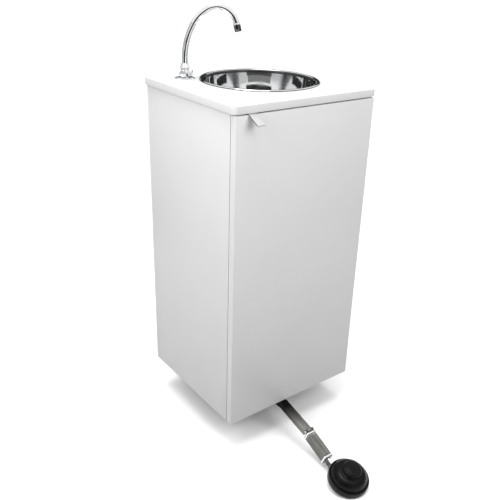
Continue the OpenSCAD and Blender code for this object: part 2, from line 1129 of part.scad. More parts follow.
module arm_sleeve() {
    smooth = 11;
    knuckle_w = 7;
    color("gray")
        on_link() {
            difference() {
                union() {
                    translate([0, -sleeve_start, -pin_up])
                        rotate([90, 0, 0])
                            linear_extrude(smooth)
                                round_rect(sleeve_w, sleeve_w, 2);
                    translate([0, -sleeve_start - smooth, -pin_up])
                        rotate([90, 0, 0])
                            linear_extrude(sleeve_end - sleeve_start - smooth - 3)
                                sleeve_section();
                    translate([0, -sleeve_end + 3, -pin_up])
                        rotate([90, 0, 0])
                            linear_extrude(3)
                                round_rect(sleeve_w, sleeve_w, 2);
                    for (side = [-1, 1]) {
                        translate([side * 8.5 - knuckle_w / 2, -sleeve_start - 0.5, -2])
                            cube([knuckle_w, sleeve_start + 0.5, 3]);
                        translate([side * 8.5, 0, 0])
                            bar_x(knuckle_r, knuckle_w);
                    }
                }
                translate([-sleeve_bore / 2, -sleeve_end + 6, -pin_up - sleeve_bore / 2])
                    cube([sleeve_bore, 200, sleeve_bore - 3.4]);
                translate([-sleeve_bore / 2, -sleeve_end + 6, -pin_up])
                    cube([sleeve_bore, sleeve_end - sleeve_start - 8, sleeve_bore / 2]);
                bar_x(arm_pin_r + running, 60);
                translate([-20, -sleeve_start + 0.2, -40])
                    cube([40, 60, 37.9]);
                translate([0, -sleeve_end + 10, -pin_up])
                    rod_out(5.05, 20);
            }
        }
}

// Square rims round both ends of the sleeve
module sleeve_rims() {
    color("whitesmoke")
        on_link()
            for (at = [sleeve_start + 4, sleeve_end - 4])
                translate([0, -at, -pin_up])
                    rotate([90, 0, 0])
                        linear_extrude(3.4, center = true)
                            difference() {
                                round_rect(rim_w, rim_w, 3);
                                round_rect(sleeve_w, sleeve_w, 2);
                            }
}

boss_start = 106.2;
module pump_pipe() {
    color(steel)
        on_link(sleeve_end - 5.5)
            translate([0, 0, -pin_up])
                rotate([90, 0, 0])
                    tube(5, 3, boss_start + 10 - sleeve_end + 5.5);
}

module union_nut() {
    color("whitesmoke")
        on_link(sleeve_end + 4)
            translate([0, 0, -pin_up])
                rotate([90, 0, 0])
                    difference() {
                        union() {
                            cylinder(r = 12.6, h = 14, $fn = 6);
                            translate([0, 0, 14])
                                cylinder(r = 13.2, h = 2);
                            translate([0, 0, -2.4])
                                cylinder(r = 8.4, h = 2.4);
                        }
                        translate([0, 0, -3])
                            cylinder(r = 5 + running, h = 24);
                    }
}

// ---------- foot pump ----------

chamber_r = 40;
chamber_floor = 5;
module pump_base() {
    color(black_rubber)
        difference() {
            union() {
                on_pump() {
                    cylinder(r = pump_r, h = pump_rim_h - 4);
                    translate([0, 0, -pump_pad_t])
                        cylinder(r = pump_pad_r, h = pump_pad_t);
                }
                on_link(boss_start)
                    translate([0, 0, -pin_up])
                        rod_out(10.5, 16);
                on_link(boss_start)
                    translate([-10.5, -16, -pin_up])
                        cube([21, 16, 14]);
            }
            on_pump()
                translate([0, 0, chamber_floor])
                    cylinder(r = chamber_r, h = 40);
            on_link(boss_start - 1)
                translate([0, 0, -pin_up])
                    rod_out(5.05, 11);
        }
}

// Ring that clamps the dome's edge to the base
module pump_clamp_ring() {
    color(black_rubber)
        on_pump()
            translate([0, 0, pump_rim_h - 4])
                difference() {
                    cylinder(r = pump_r, h = 4);
                    translate([0, 0, -1])
                        cylinder(r = 47, h = 6);
                }
}

dome_top = 38.5;
dome_neck_r = 22.5;
dome_t = 2.4;
dome_outside = concat(
    [[46.8, pump_rim_h - 4], [46.8, pump_rim_h + 1.5]],
    arc_points(22, 13, 24.5, 12, 66, 8),
    [[dome_neck_r, dome_top - 3], [dome_neck_r, dome_top]]
);
module pump_dome() {
    color(black_rubber)
        on_pump()
            rotate_extrude()
                polygon(thicken(dome_outside, -dome_t));
}

button_r = 24;
module pump_button() {
    color(black_rubber)
        on_pump()
            rotate_extrude()
                polygon(concat(
                    [[0, dome_top], [button_r - 1, dome_top]],
                    arc_points(button_r - 5, dome_top + 5, 5, -30, 78, 8),
                    [[0, dome_top + 10.6]]
                ));
}

// Return spring under the button: rings joined by the turns between them
module pump_spring() {
    turns = 5;
    spring_r = 17;
    wire_r = 1.1;
    low = chamber_floor + wire_r;
    high = dome_top - wire_r;
    color(steel)
        on_pump()
            for (i = [0 : turns])
                translate([0, 0, low + (high - low) * i / turns])
                    rotate_extrude()
                        translate([spring_r, 0])
                            circle(wire_r, $fn = 24);
}

// ---------- wheels and feet ----------

module wheel_brackets() {
    plate = 64;
    leg_gap = wheel_w + 4;
    color(steel)
        in_cabinet()
            for (side = [-1, 1])
                translate([side * stand_x, wheel_y, 0])
                    difference() {
                        union() {
                            translate([-plate / 2, -plate / 2, base_z - 3])
                                cube([plate, plate, 3]);
                            for (leg = [-1, 1])
                                translate([leg * (leg_gap / 2 + 1.25), 0, 0])
                                    rotate([90, 0, 90])
                                        linear_extrude(2.5, center = true)
                                            polygon([
                                                [-26, base_z - 2],
                                                [26, base_z - 2],
                                                [9, wheel_r - 9],
                                                [-9, wheel_r - 9]
                                            ]);
                        }
                        translate([0, 0, wheel_r])
                            bar_x(axle_r + running, 60);
                    }
}

module wheel_axles() {
    head = wheel_w / 2 + 6.5;
    color(steel)
        in_cabinet()
            for (side = [-1, 1])
                translate([side * stand_x, wheel_y, wheel_r]) {
                    bar_x(axle_r, 2 * head);
                    for (end = [-1, 1])
                        translate([end * (head + 1.5), 0, 0])
                            rotate([0, 90, 0])
                                cylinder(r = 7, h = 3, center = true, $fn = 6);
                }
}

module wheel(x) {
    groove = 3;
    color("dimgray")
        in_cabinet()
            translate([x, wheel_y, wheel_r])
                rotate([0, 90, 0])
                    rotate_extrude()
                        polygon([
                            [axle_r + running, -wheel_w / 2],
                            [11, -wheel_w / 2],
                            [11, -wheel_w / 2 + groove],
                            [wheel_r - 12, -wheel_w / 2 + groove],
                            [wheel_r - 11, -wheel_w / 2 + 1],
                            [wheel_r - 3, -wheel_w / 2 + 1],
                            [wheel_r, -wheel_w / 2 + 5],
                            [wheel_r, wheel_w / 2 - 5],
                            [wheel_r - 3, wheel_w / 2 - 1],
                            [wheel_r - 11, wheel_w / 2 - 1],
                            [wheel_r - 12, wheel_w / 2 - groove],
                            [11, wheel_w / 2 - groove],
                            [11, wheel_w / 2],
                            [axle_r + running, wheel_w / 2]
                        ]);
}

module left_wheel() {
    wheel(-stand_x);
}

module right_wheel() {
    wheel(stand_x);
}

module foot_posts() {
    color(steel)
        in_cabinet()
            for (side = [-1, 1])
                translate([side * stand_x, foot_y, 0]) {
                    translate([0, 0, foot_pad_h])
                        cylinder(r = 11, h = base_z - 3 - foot_pad_h);
                    translate([0, 0, base_z - 3])
                        linear_extrude(3)
                            round_rect(56, 56, 6);
                }
}

module foot_pads() {
    color(black_rubber)
        in_cabinet()
            for (side = [-1, 1])
                translate([side * stand_x, foot_y, 0]) {
                    cylinder(r1 = 17, r2 = 18, h = 3);
                    translate([0, 0, 3])
                        cylinder(r1 = 18, r2 = 13, h = foot_pad_h - 3);
                }
}

countertop();
left_side_panel();
right_side_panel();
back_panel();
base_panel();
front_rail();
rear_rail();
corner_brackets();
bracket_screws();
basin();
basin_gasket();
basin_clips();
drain_strainer();
drain_nut();
drain_tailpiece();
waste_hose();
tap_flange();
tap_body();
spout_nut();
tap_shank();
tap_lock_nut();
spout();
aerator();
tap_lever();
fresh_water_can();
fresh_can_cap();
waste_water_can();
waste_can_cap();
water_hose();
air_hose();
hose_nipple();
door_panel();
door_pull();
pull_screws();
hinge_door_leaves();
catch_plate();
hinge_frame_leaves();
hinge_pins();
magnetic_catch();
arm_bar();
arm_clamps();
clamp_screws();
arm_knuckle();
arm_pin();
arm_sleeve();
sleeve_rims();
pump_pipe();
union_nut();
pump_base();
pump_clamp_ring();
pump_dome();
pump_spring();
pump_button();
wheel_brackets();
wheel_axles();
left_wheel();
right_wheel();
foot_posts();
foot_pads();
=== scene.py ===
import json
import math

import bmesh
import bpy
from mathutils import Matrix, Vector


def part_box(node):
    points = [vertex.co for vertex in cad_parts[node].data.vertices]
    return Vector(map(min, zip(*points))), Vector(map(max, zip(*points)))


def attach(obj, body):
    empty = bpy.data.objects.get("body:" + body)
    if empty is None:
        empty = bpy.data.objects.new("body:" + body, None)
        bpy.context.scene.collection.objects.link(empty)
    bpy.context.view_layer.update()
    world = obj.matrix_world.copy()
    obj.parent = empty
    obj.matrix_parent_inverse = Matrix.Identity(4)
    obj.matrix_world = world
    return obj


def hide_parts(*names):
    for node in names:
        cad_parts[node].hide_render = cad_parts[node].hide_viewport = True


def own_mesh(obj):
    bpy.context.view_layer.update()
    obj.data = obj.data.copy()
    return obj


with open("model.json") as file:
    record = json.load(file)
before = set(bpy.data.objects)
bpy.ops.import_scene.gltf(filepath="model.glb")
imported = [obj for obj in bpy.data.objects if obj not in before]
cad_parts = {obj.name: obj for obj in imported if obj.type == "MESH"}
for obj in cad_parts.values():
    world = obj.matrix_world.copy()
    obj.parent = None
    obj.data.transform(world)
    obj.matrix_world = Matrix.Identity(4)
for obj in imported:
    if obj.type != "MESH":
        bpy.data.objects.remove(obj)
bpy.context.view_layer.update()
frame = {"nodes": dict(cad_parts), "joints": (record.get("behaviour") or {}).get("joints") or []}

MM = 0.001
JOINTS = {j["name"]: j for j in frame["joints"]}


# ---------- places, in the object's frame, in millimetres ----------

def corner(node, which):
    """The lowest (0) or highest (1) corner of a CAD node, in millimetres."""
    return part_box(node)[which] / MM


COUNTER_LOW = corner("countertop", 0)
COUNTER_HIGH = corner("countertop", 1)
FRONT_Y = COUNTER_LOW.y
COUNTER_TOP = COUNTER_HIGH.z
BOARD = COUNTER_HIGH.z - COUNTER_LOW.z
BASIN_X, BASIN_Y = 23.0, FRONT_Y + 219.0
TAP_AT = Vector(JOINTS["spout_swivel"]["pos_m"]) / MM
TAP_X, TAP_Y = TAP_AT.x, TAP_AT.y
TAP_TURN = math.atan2(BASIN_Y - TAP_Y, BASIN_X - TAP_X)
SIDE_Z = JOINTS["lever_turn"]["pos_m"][2] / MM - COUNTER_TOP
PLUG_TURN = math.radians(-22)
PIN = Vector(JOINTS["pedal_fold"]["pos_m"]) / MM
PRESS = Vector(JOINTS["pump_press"]["axis"])
PUMP_TILT = math.atan2(PRESS.y, -PRESS.z)
SLEEVE_SLOPE = math.radians(22.5)
PUMP_PAD_R, PUMP_PAD_T = 50.0, 2.0
PUMP_Y = FRONT_Y - 259.0
PUMP_Z = PUMP_PAD_R * math.sin(PUMP_TILT) + PUMP_PAD_T * math.cos(PUMP_TILT)
BASE_TOP = corner("base_panel", 1).z
CAN_X, CAN_Y = 93.0, FRONT_Y + 230.0
NECK_Y = FRONT_Y + 150.0
CAN_W, CAN_D, CAN_H = 160.0, 250.0, 330.0
HANDLE_Y = 10.0
# Bend radii, straight lengths and ribs of the hoses
SUPPLY_BEND, WASTE_BEND = 90.0, 62.0
SUPPLY_STRAIGHT = 400.0
NIPPLE_Y = FRONT_Y + 66.0
AIR_HOSE_TOP = 520.0
CUFF, RIB_PITCH = 16.0, 5.2
BEND_STEPS = 14


def place(x, y, z, axis="Z", turn=0.0):
    return Matrix.Translation((x, y, z)) @ Matrix.Rotation(turn, 4, axis)


ROW = Matrix.Identity(4)
BASIN = place(BASIN_X, BASIN_Y, COUNTER_TOP)
TAP = place(TAP_X, TAP_Y, COUNTER_TOP, "Z", TAP_TURN)
LINK = place(PIN.x, PIN.y, PIN.z, "X", SLEEVE_SLOPE)
PUMP = place(PIN.x, PUMP_Y, PUMP_Z, "X", PUMP_TILT)
OUTWARD = Matrix.Rotation(math.radians(90), 4, "X")


# ---------- mesh tools ----------

def finish_mesh(obj, sharp):
    """Smooth shading, with every edge sharper than the angle kept sharp."""
    mesh = obj.data
    for polygon in mesh.polygons:
        polygon.use_smooth = True
    mesh.set_sharp_from_angle(angle=math.radians(sharp))


def add_piece(name, bm, materials, body, nodes=(), matrix=ROW, sharp=35):
    """Turns a bmesh in millimetres into a piece in metres that rides on a body."""
    bmesh.ops.transform(bm, matrix=Matrix.Scale(MM, 4) @ matrix, verts=bm.verts)
    bmesh.ops.recalc_face_normals(bm, faces=bm.faces)
    mesh = bpy.data.meshes.new(name)
    bm.to_mesh(mesh)
    bm.free()
    obj = bpy.data.objects.new(name, mesh)
    bpy.context.collection.objects.link(obj)
    for material in materials if isinstance(materials, (list, tuple)) else [materials]:
        mesh.materials.append(material)
    finish_mesh(obj, sharp)
    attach(obj, body)
    if nodes:
        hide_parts(*nodes)
    return obj


def rounded(points, steps=6):
    """A closed outline from corners (x, y, radius), with each corner rounded."""
    out = []
    count = len(points)
    for i, (x, y, r) in enumerate(points):
        here = Vector((x, y))
        if r <= 0:
            out.append(here)
            continue
        before = Vector(points[i - 1][:2]) - here
        after = Vector(points[(i + 1) % count][:2]) - here
        half = before.angle(after) / 2
        reach = min(r / math.tan(half), before.length * 0.49, after.length * 0.49)
        r = reach * math.tan(half)
        centre = here + (before.normalized() + after.normalized()).normalized() * (r / math.sin(half))
        start = here + before.normalized() * reach - centre
        end = here + after.normalized() * reach - centre
        sweep = start.angle_signed(end) if start.length > 1e-9 else 0.0
        for k in range(steps + 1):
            a = -sweep * k / steps
            out.append(centre + Vector((
                start.x * math.cos(a) - start.y * math.sin(a),
                start.x * math.sin(a) + start.y * math.cos(a),
            )))
    return out


def arc(cx, cz, r, start, end, steps):
    return [
        Vector((cx + r * math.cos(math.radians(a)), cz + r * math.sin(math.radians(a))))
        for a in (start + (end - start) * i / steps for i in range(steps + 1))
    ]


def lathe(bm, outline, segments=96, closed=True, material=0, wobble=None, matrix=None):
    """Revolves an outline of (radius, height) about Z. wobble(angle, point) is added to the radius."""
    rings = []
    for p in outline:
        if p[0] < 1e-6:
            rings.append([bm.verts.new((0, 0, p[1]))])
            continue
        ring = []
        for i in range(segments):
            a = 2 * math.pi * i / segments
            r = p[0] + (wobble(a, p) if wobble else 0.0)
            ring.append(bm.verts.new((r * math.cos(a), r * math.sin(a), p[1])))
        rings.append(ring)
    pairs = list(zip(rings, rings[1:]))
    if closed:
        pairs.append((rings[-1], rings[0]))
    for a, b in pairs:
        if len(a) == 1 and len(b) == 1:
            continue
        for i in range(segments):
            j = (i + 1) % segments
            if len(a) == 1:
                quad = (a[0], b[j], b[i])
            elif len(b) == 1:
                quad = (a[i], a[j], b[0])
            else:
                quad = (a[i], a[j], b[j], b[i])
            bm.faces.new(quad).material_index = material
    if matrix is not None:
        bmesh.ops.transform(bm, matrix=matrix, verts=[v for ring in rings for v in ring])


def sweep(bm, path, radius, segments=24):
    """A capped tube along path. radius is a number or a function of the distance along it."""
    path = [Vector(p) for p in path]
    tangents = []
    for i in range(len(path)):
        a = path[max(i - 1, 0)]
        b = path[min(i + 1, len(path) - 1)]
        tangents.append((b - a).normalized())
    side = Vector((0, 1, 0)) if abs(tangents[0].y) < 0.9 else Vector((1, 0, 0))
    side = (side - tangents[0] * side.dot(tangents[0])).normalized()
    rings = []
    run = 0.0
    for i, (p, t) in enumerate(zip(path, tangents)):
        if i:
            run += (p - path[i - 1]).length
            side = (side - t * side.dot(t)).normalized()
        other = t.cross(side)
        r = radius(run) if callable(radius) else radius
        ring = []
        for k in range(segments):
            a = 2 * math.pi * k / segments
            ring.append(bm.verts.new(p + side * (r * math.cos(a)) + other * (r * math.sin(a))))
        rings.append(ring)
    for a, b in zip(rings, rings[1:]):
        for k in range(segments):
            j = (k + 1) % segments
            bm.faces.new((a[k], a[j], b[j], b[k]))
    bm.faces.new(rings[0][::-1])
    bm.faces.new(rings[-1])


def prism(bm, outline, low, high, material=0, matrix=None):
    """Extrudes a closed outline in X, Y from low to high along Z."""
    bottom = [bm.verts.new((p[0], p[1], low)) for p in outline]
    top = [bm.verts.new((p[0], p[1], high)) for p in outline]
    count = len(outline)
    for i in range(count):
        j = (i + 1) % count
        bm.faces.new((bottom[i], bottom[j], top[j], top[i])).material_index = material
    bm.faces.new(bottom[::-1]).material_index = material
    bm.faces.new(top).material_index = material
    if matrix is not None:
        bmesh.ops.transform(bm, matrix=matrix, verts=bottom + top)


def soften_edges(bm, width, segments=2, angle=30):
    """Rounds every edge sharper than angle."""
    bm.normal_update()
    limit = math.radians(angle)
    edges = [e for e in bm.edges if len(e.link_faces) == 2 and e.calc_face_angle(0) > limit]
    bmesh.ops.bevel(
        bm, geom=edges, offset=width, segments=segments, profile=0.5, affect="EDGES",
        clamp_overlap=True, offset_type="OFFSET",
    )


def from_cad(node, materials, body, width=0.6, segments=2, angle=35):
    """A finished copy of a CAD node: flat faces made whole and every hard edge rounded."""
    bm = bmesh.new()
    bm.from_mesh(frame["nodes"][node].data)
    bmesh.ops.transform(bm, matrix=Matrix.Scale(1 / MM, 4), verts=bm.verts)
    bmesh.ops.remove_doubles(bm, verts=bm.verts, dist=0.002)
    bmesh.ops.dissolve_limit(
        bm, angle_limit=math.radians(0.6), use_dissolve_boundaries=False,
        verts=bm.verts, edges=bm.edges,
    )
    soften_edges(bm, width, segments, angle)
    return add_piece(node + "_finished", bm, materials, body, [node])


# ---------- materials ----------

def new_material(name):
    material = bpy.data.materials.new(name)
    material.use_nodes = True
    nodes = material.node_tree.nodes
    return material, nodes, material.node_tree.links, nodes["Principled BSDF"]


def texture_noise(nodes, links, where, scale, detail=3.0, roughness=0.5, stretch=None):
    """A noise texture in object coordinates. stretch scales X, Y and Z before it."""
    texture = nodes.new("ShaderNodeTexNoise")
    texture.inputs["Scale"].default_value = scale
    texture.inputs["Detail"].default_value = detail
    texture.inputs["Roughness"].default_value = roughness
    source = where.outputs["Object"]
    if stretch is not None:
        mapping = nodes.new("ShaderNodeMapping")
        mapping.inputs["Scale"].default_value = stretch
        links.new(source, mapping.inputs["Vector"])
        source = mapping.outputs["Vector"]
    links.new(source, texture.inputs["Vector"])
    return texture.outputs["Fac"]


def spread(nodes, links, source, low, high):
    """Maps 0.3..0.7 of a noise to low..high."""
    remap = nodes.new("ShaderNodeMapRange")
    remap.inputs["From Min"].default_value = 0.3
    remap.inputs["From Max"].default_value = 0.7
    remap.inputs["To Min"].default_value = low
    remap.inputs["To Max"].default_value = high
    links.new(source, remap.inputs["Value"])
    return remap.outputs["Result"]


def mix_colours(nodes, links, factor, first, second):
    mix = nodes.new("ShaderNodeMix")
    mix.data_type = "RGBA"
    mix.inputs["A"].default_value = (*first, 1)
    mix.inputs["B"].default_value = (*second, 1)
    links.new(factor, mix.inputs["Factor"])
    return mix.outputs["Result"]


def add_bump(nodes, links, shader, height, strength, distance):
    bump = nodes.new("ShaderNodeBump")
    bump.inputs["Strength"].default_value = strength
    bump.inputs["Distance"].default_value = distance
    links.new(height, bump.inputs["Height"])
    links.new(bump.outputs["Normal"], shader.inputs["Normal"])


def surface(
    name, colour, other=None, rough=(0.4, 0.5), metallic=0.0, tone_scale=12.0,
    grain_scale=900.0, grain=0.1, grain_depth=0.0001, stretch=None,
    transmission=0.0, wear=0.0, shine=0.5, shade=None,
):
    """A material with uneven tone, uneven gloss, a fine grain and, where wear is given, lighter scuffs.

    shade is two places along Y, in metres: the colour is painted darkest at the first and fades to its own
    tone at the second, as painted shade.
    """
    material, nodes, links, shader = new_material(name)
    where = nodes.new("ShaderNodeTexCoord")
    tone = texture_noise(nodes, links, where, tone_scale, 4.0, 0.55, stretch)
    colour_out = mix_colours(nodes, links, spread(nodes, links, tone, 0.0, 1.0), colour, other or colour)
    if wear > 0:
        scuff = texture_noise(nodes, links, where, tone_scale * 6, 6.0, 0.7, stretch)
        ramp = nodes.new("ShaderNodeValToRGB")
        ramp.color_ramp.elements[0].position = 0.58
        ramp.color_ramp.elements[1].position = 0.75
        ramp.color_ramp.elements[1].color = (wear, wear, wear, 1)
        links.new(scuff, ramp.inputs["Fac"])
        add = nodes.new("ShaderNodeMix")
        add.data_type = "RGBA"
        add.blend_type = "ADD"
        add.inputs["Factor"].default_value = 1.0
        links.new(colour_out, add.inputs["A"])
        links.new(ramp.outputs["Color"], add.inputs["B"])
        colour_out = add.outputs["Result"]
    # Painted shade: the colour darkens along Y towards the first place of shade.
    if shade is not None:
        split = nodes.new("ShaderNodeSeparateXYZ")
        links.new(where.outputs["Object"], split.inputs["Vector"])
        fade = nodes.new("ShaderNodeMapRange")
        fade.inputs["From Min"].default_value, fade.inputs["From Max"].default_value = shade
        fade.inputs["To Min"].default_value = 0.04
        links.new(split.outputs["Y"], fade.inputs["Value"])
        dim = nodes.new("ShaderNodeMix")
        dim.data_type = "RGBA"
        dim.blend_type = "MULTIPLY"
        dim.inputs["Factor"].default_value = 1.0
        links.new(colour_out, dim.inputs["A"])
        links.new(fade.outputs["Result"], dim.inputs["B"])
        colour_out = dim.outputs["Result"]
    links.new(colour_out, shader.inputs["Base Color"])
    gloss = texture_noise(nodes, links, where, tone_scale * 3, 4.0, 0.6, stretch)
    links.new(spread(nodes, links, gloss, *rough), shader.inputs["Roughness"])
    shader.inputs["Metallic"].default_value = metallic
    shader.inputs["Transmission Weight"].default_value = transmission
    shader.inputs["Specular IOR Level"].default_value = shine
    fine = texture_noise(nodes, links, where, grain_scale, 2.0, 0.5, stretch)
    add_bump(nodes, links, shader, fine, grain, grain_depth)
    return material


WHITE = surface(
    "white_board_surface", (0.71, 0.71, 0.71), (0.73, 0.73, 0.73), (0.36, 0.46),
    tone_scale=5.0, grain_scale=1400.0, grain=0.12, grain_depth=0.00005,
)
# The pull's white is painted darker than the board's white: painted shade on its lit top.
WHITE_PLASTIC_SHADED = surface(
    "white_plastic_shaded_surface", (0.40, 0.40, 0.40), (0.44, 0.44, 0.44), (0.34, 0.44),
    tone_scale=30.0, grain_scale=1800.0, grain=0.06, grain_depth=0.00004,
)
# Dark colour for the pull's end faces: painted shade.
PULL_END_SHADE = surface(
    "pull_end_shade_surface", (0.06, 0.06, 0.06), (0.09, 0.09, 0.09), (0.5, 0.6),
    tone_scale=60.0, grain_scale=1200.0, grain=0.2, grain_depth=0.0001,
)
MIRROR_STEEL = surface(
    "mirror_steel_surface", (0.80, 0.81, 0.82), (0.84, 0.85, 0.86), (0.035, 0.075),
    metallic=1.0, tone_scale=14.0, grain_scale=60.0, grain=0.012, grain_depth=0.0004,
)
CHROME = surface(
    "chrome_surface", (0.84, 0.85, 0.86), (0.88, 0.89, 0.90), (0.03, 0.07),
    metallic=1.0, tone_scale=40.0, grain_scale=120.0, grain=0.01, grain_depth=0.0002,
)
RIM_SHADE = surface(
    "rim_shade_surface", (0.11, 0.11, 0.112), (0.15, 0.15, 0.152), (0.12, 0.20),
    metallic=1.0, tone_scale=14.0, grain_scale=60.0, grain=0.02, grain_depth=0.0004,
)
SHADED_CHROME = surface(
    "shaded_chrome_surface", (0.16, 0.16, 0.165), (0.22, 0.22, 0.225), (0.08, 0.14),
    metallic=1.0, tone_scale=40.0, grain_scale=200.0, grain=0.02, grain_depth=0.0002,
)
# The bar is painted darker near the cabinet: a painted shadow of the cabinet over it.
BAR_STEEL = surface(
    "bar_steel_surface", (0.17, 0.165, 0.16), (0.27, 0.26, 0.25), (0.26, 0.42),
    metallic=1.0, tone_scale=90.0, grain_scale=700.0, grain=0.2, grain_depth=0.0001,
    stretch=(1.0, 0.06, 1.0), wear=0.05, shade=((FRONT_Y - 20) * MM, (FRONT_Y - 95) * MM),
)
LINK_STEEL = surface(
    "link_steel_surface", (0.30, 0.30, 0.31), (0.40, 0.40, 0.41), (0.24, 0.38),
    metallic=1.0, tone_scale=90.0, grain_scale=700.0, grain=0.2, grain_depth=0.0001,
)
SLEEVE = surface(
    "sleeve_surface", (0.17, 0.165, 0.155), (0.24, 0.235, 0.225), (0.28, 0.40),
    metallic=1.0, tone_scale=60.0, grain_scale=900.0, grain=0.15, grain_depth=0.00008,
    stretch=(1.0, 0.1, 1.0),
)
BRIGHT = surface(
    "bright_metal_surface", (0.86, 0.86, 0.86), (0.92, 0.92, 0.92), (0.12, 0.24),
    metallic=0.85, tone_scale=50.0, grain_scale=600.0, grain=0.08, grain_depth=0.00006,
)
RUBBER = surface(
    "black_rubber_surface", (0.0025, 0.0025, 0.003), (0.005, 0.005, 0.0055), (0.24, 0.36),
    tone_scale=22.0, grain_scale=1500.0, grain=0.18, grain_depth=0.0001, wear=0.003, shine=0.12,
)
ZINC = surface(
    "zinc_surface", (0.60, 0.61, 0.62), (0.70, 0.71, 0.72), (0.26, 0.42),
    metallic=1.0, tone_scale=70.0, grain_scale=500.0, grain=0.12, grain_depth=0.0001,
)
BRASS = surface(
    "brass_surface", (0.62, 0.43, 0.17), (0.70, 0.50, 0.22), (0.22, 0.36),
    metallic=1.0, tone_scale=50.0, grain_scale=500.0, grain=0.1, grain_depth=0.0001,
)
GREY_PLASTIC = surface(
    "grey_plastic_surface", (0.36, 0.37, 0.38), (0.42, 0.43, 0.44), (0.40, 0.52),
    tone_scale=25.0, grain_scale=1200.0, grain=0.2, grain_depth=0.0001,
)
TYRE = surface(
    "grey_tyre_surface", (0.05, 0.05, 0.052), (0.08, 0.08, 0.083), (0.50, 0.66),
    tone_scale=30.0, grain_scale=900.0, grain=0.3, grain_depth=0.00015, wear=0.03,
)
CAN = surface(
    "can_surface", (0.80, 0.83, 0.83), (0.86, 0.88, 0.88), (0.34, 0.46),
    tone_scale=16.0, grain_scale=700.0, grain=0.25, grain_depth=0.00015, transmission=0.25,
)
CAN_WASTE = surface(
    "waste_can_surface", (0.52, 0.57, 0.64), (0.58, 0.63, 0.70), (0.34, 0.46),
    tone_scale=16.0, grain_scale=700.0, grain=0.25, grain_depth=0.00015, transmission=0.15,
)
BLUE_PLASTIC = surface(
    "blue_plastic_surface", (0.03, 0.10, 0.36), (0.04, 0.13, 0.42), (0.28, 0.38),
    tone_scale=40.0, grain_scale=1200.0, grain=0.15, grain_depth=0.0001,
)
HOSE = surface(
    "clear_hose_surface", (0.72, 0.78, 0.78), (0.80, 0.84, 0.84), (0.16, 0.26),
    tone_scale=60.0, grain_scale=400.0, grain=0.08, grain_depth=0.0001, transmission=0.55,
)
# Painted shade for holes, slots and grooves: dark discs and crosses stand in for holes and slots, and groove
# floors are darkened.
RECESS_SHADE = surface(
    "painted_recess_shade_surface", (0.02, 0.02, 0.02), (0.04, 0.04, 0.04), (0.5, 0.7),
    tone_scale=80.0, grain_scale=900.0, grain=0.2, grain_depth=0.0001,
)


# ---------- cabinet ----------

def make_cabinet():
    from_cad("countertop", WHITE, "cabinet", 2.2, 4, 40)
    for panel in ("left_side_panel", "right_side_panel", "back_panel", "base_panel"):
        from_cad(panel, WHITE, "cabinet", 0.8, 3, 40)
    for rail in ("front_rail", "rear_rail"):
        from_cad(rail, WHITE, "cabinet", 0.8, 2, 40)
    from_cad("corner_brackets", ZINC, "cabinet", 0.5, 2, 40)


def make_screws(name, node, heads, body):
    """Pan-head screws with a cross of painted shade for the recess.

    heads are (matrix, head radius, head height, shank radius, shank length).
    """
    bm = bmesh.new()
    for matrix, head_r, head_h, shank_r, shank_len in heads:
        before = set(bm.verts)
        crown = arc(0, head_h - head_r * 1.9, head_r * 1.9, 90 - 26, 90, 5)
        outline = [Vector((head_r, 0)), Vector((head_r, head_h * 0.35))]
        outline += [Vector((p.x, p.y)) for p in crown if p.x < head_r * 0.98]
        outline[-1].x = 0.0
        lathe(bm, [Vector((0, 0))] + outline, 24, closed=False)
        thread = []
        turns = max(3, int(shank_len / 1.2))
        for i in range(turns):
            z = -shank_len * i / turns
            thread += [Vector((shank_r, z - 0.2)), Vector((shank_r * 0.8, z - shank_len / turns * 0.6))]
        lathe(bm, [Vector((0, 0.05))] + thread + [Vector((0, -shank_len))], 16, closed=False)
        # The cross recess is two thin dark bars on the head: painted shade.
        for turn in (0, math.pi / 2):
            slot_box = Matrix.Rotation(turn, 4, "Z")
            half, wide = head_r * 0.55, head_r * 0.1
            prism(
                bm, [(-half, -wide), (half, -wide), (half, wide), (-half, wide)],
                head_h * 0.9, head_h * 1.0, 1, slot_box,
            )
        bmesh.ops.transform(bm, matrix=matrix, verts=[v for v in bm.verts if v not in before])
    add_piece(name, bm, [ZINC, RECESS_SHADE], body, [node])


# ---------- basin and drain ----------

DRAIN_R = 22.0
BASIN_DEPTH = 125.0
RIM_TOP = 3.4
FLAT_Z = -BASIN_DEPTH + RIM_TOP + 3
FILLET_R = 58.0
WALL_LOW_R = 126.0
WALL_LOW_A, WALL_TOP_A = -16.0, -5.5
LIP_R = 5.0
RIM_EDGE_R = 148.9
LIP_SHADE_R, LIP_SHADE_Z = 140.2, -4.5


def offset_path(path, distance):
    out = []
    for i, p in enumerate(path):
        a, b = path[max(i - 1, 0)], path[min(i + 1, len(path) - 1)]
        d = (b - a).normalized()
        out.append(p - Vector((-d.y, d.x)) * distance)
    return out


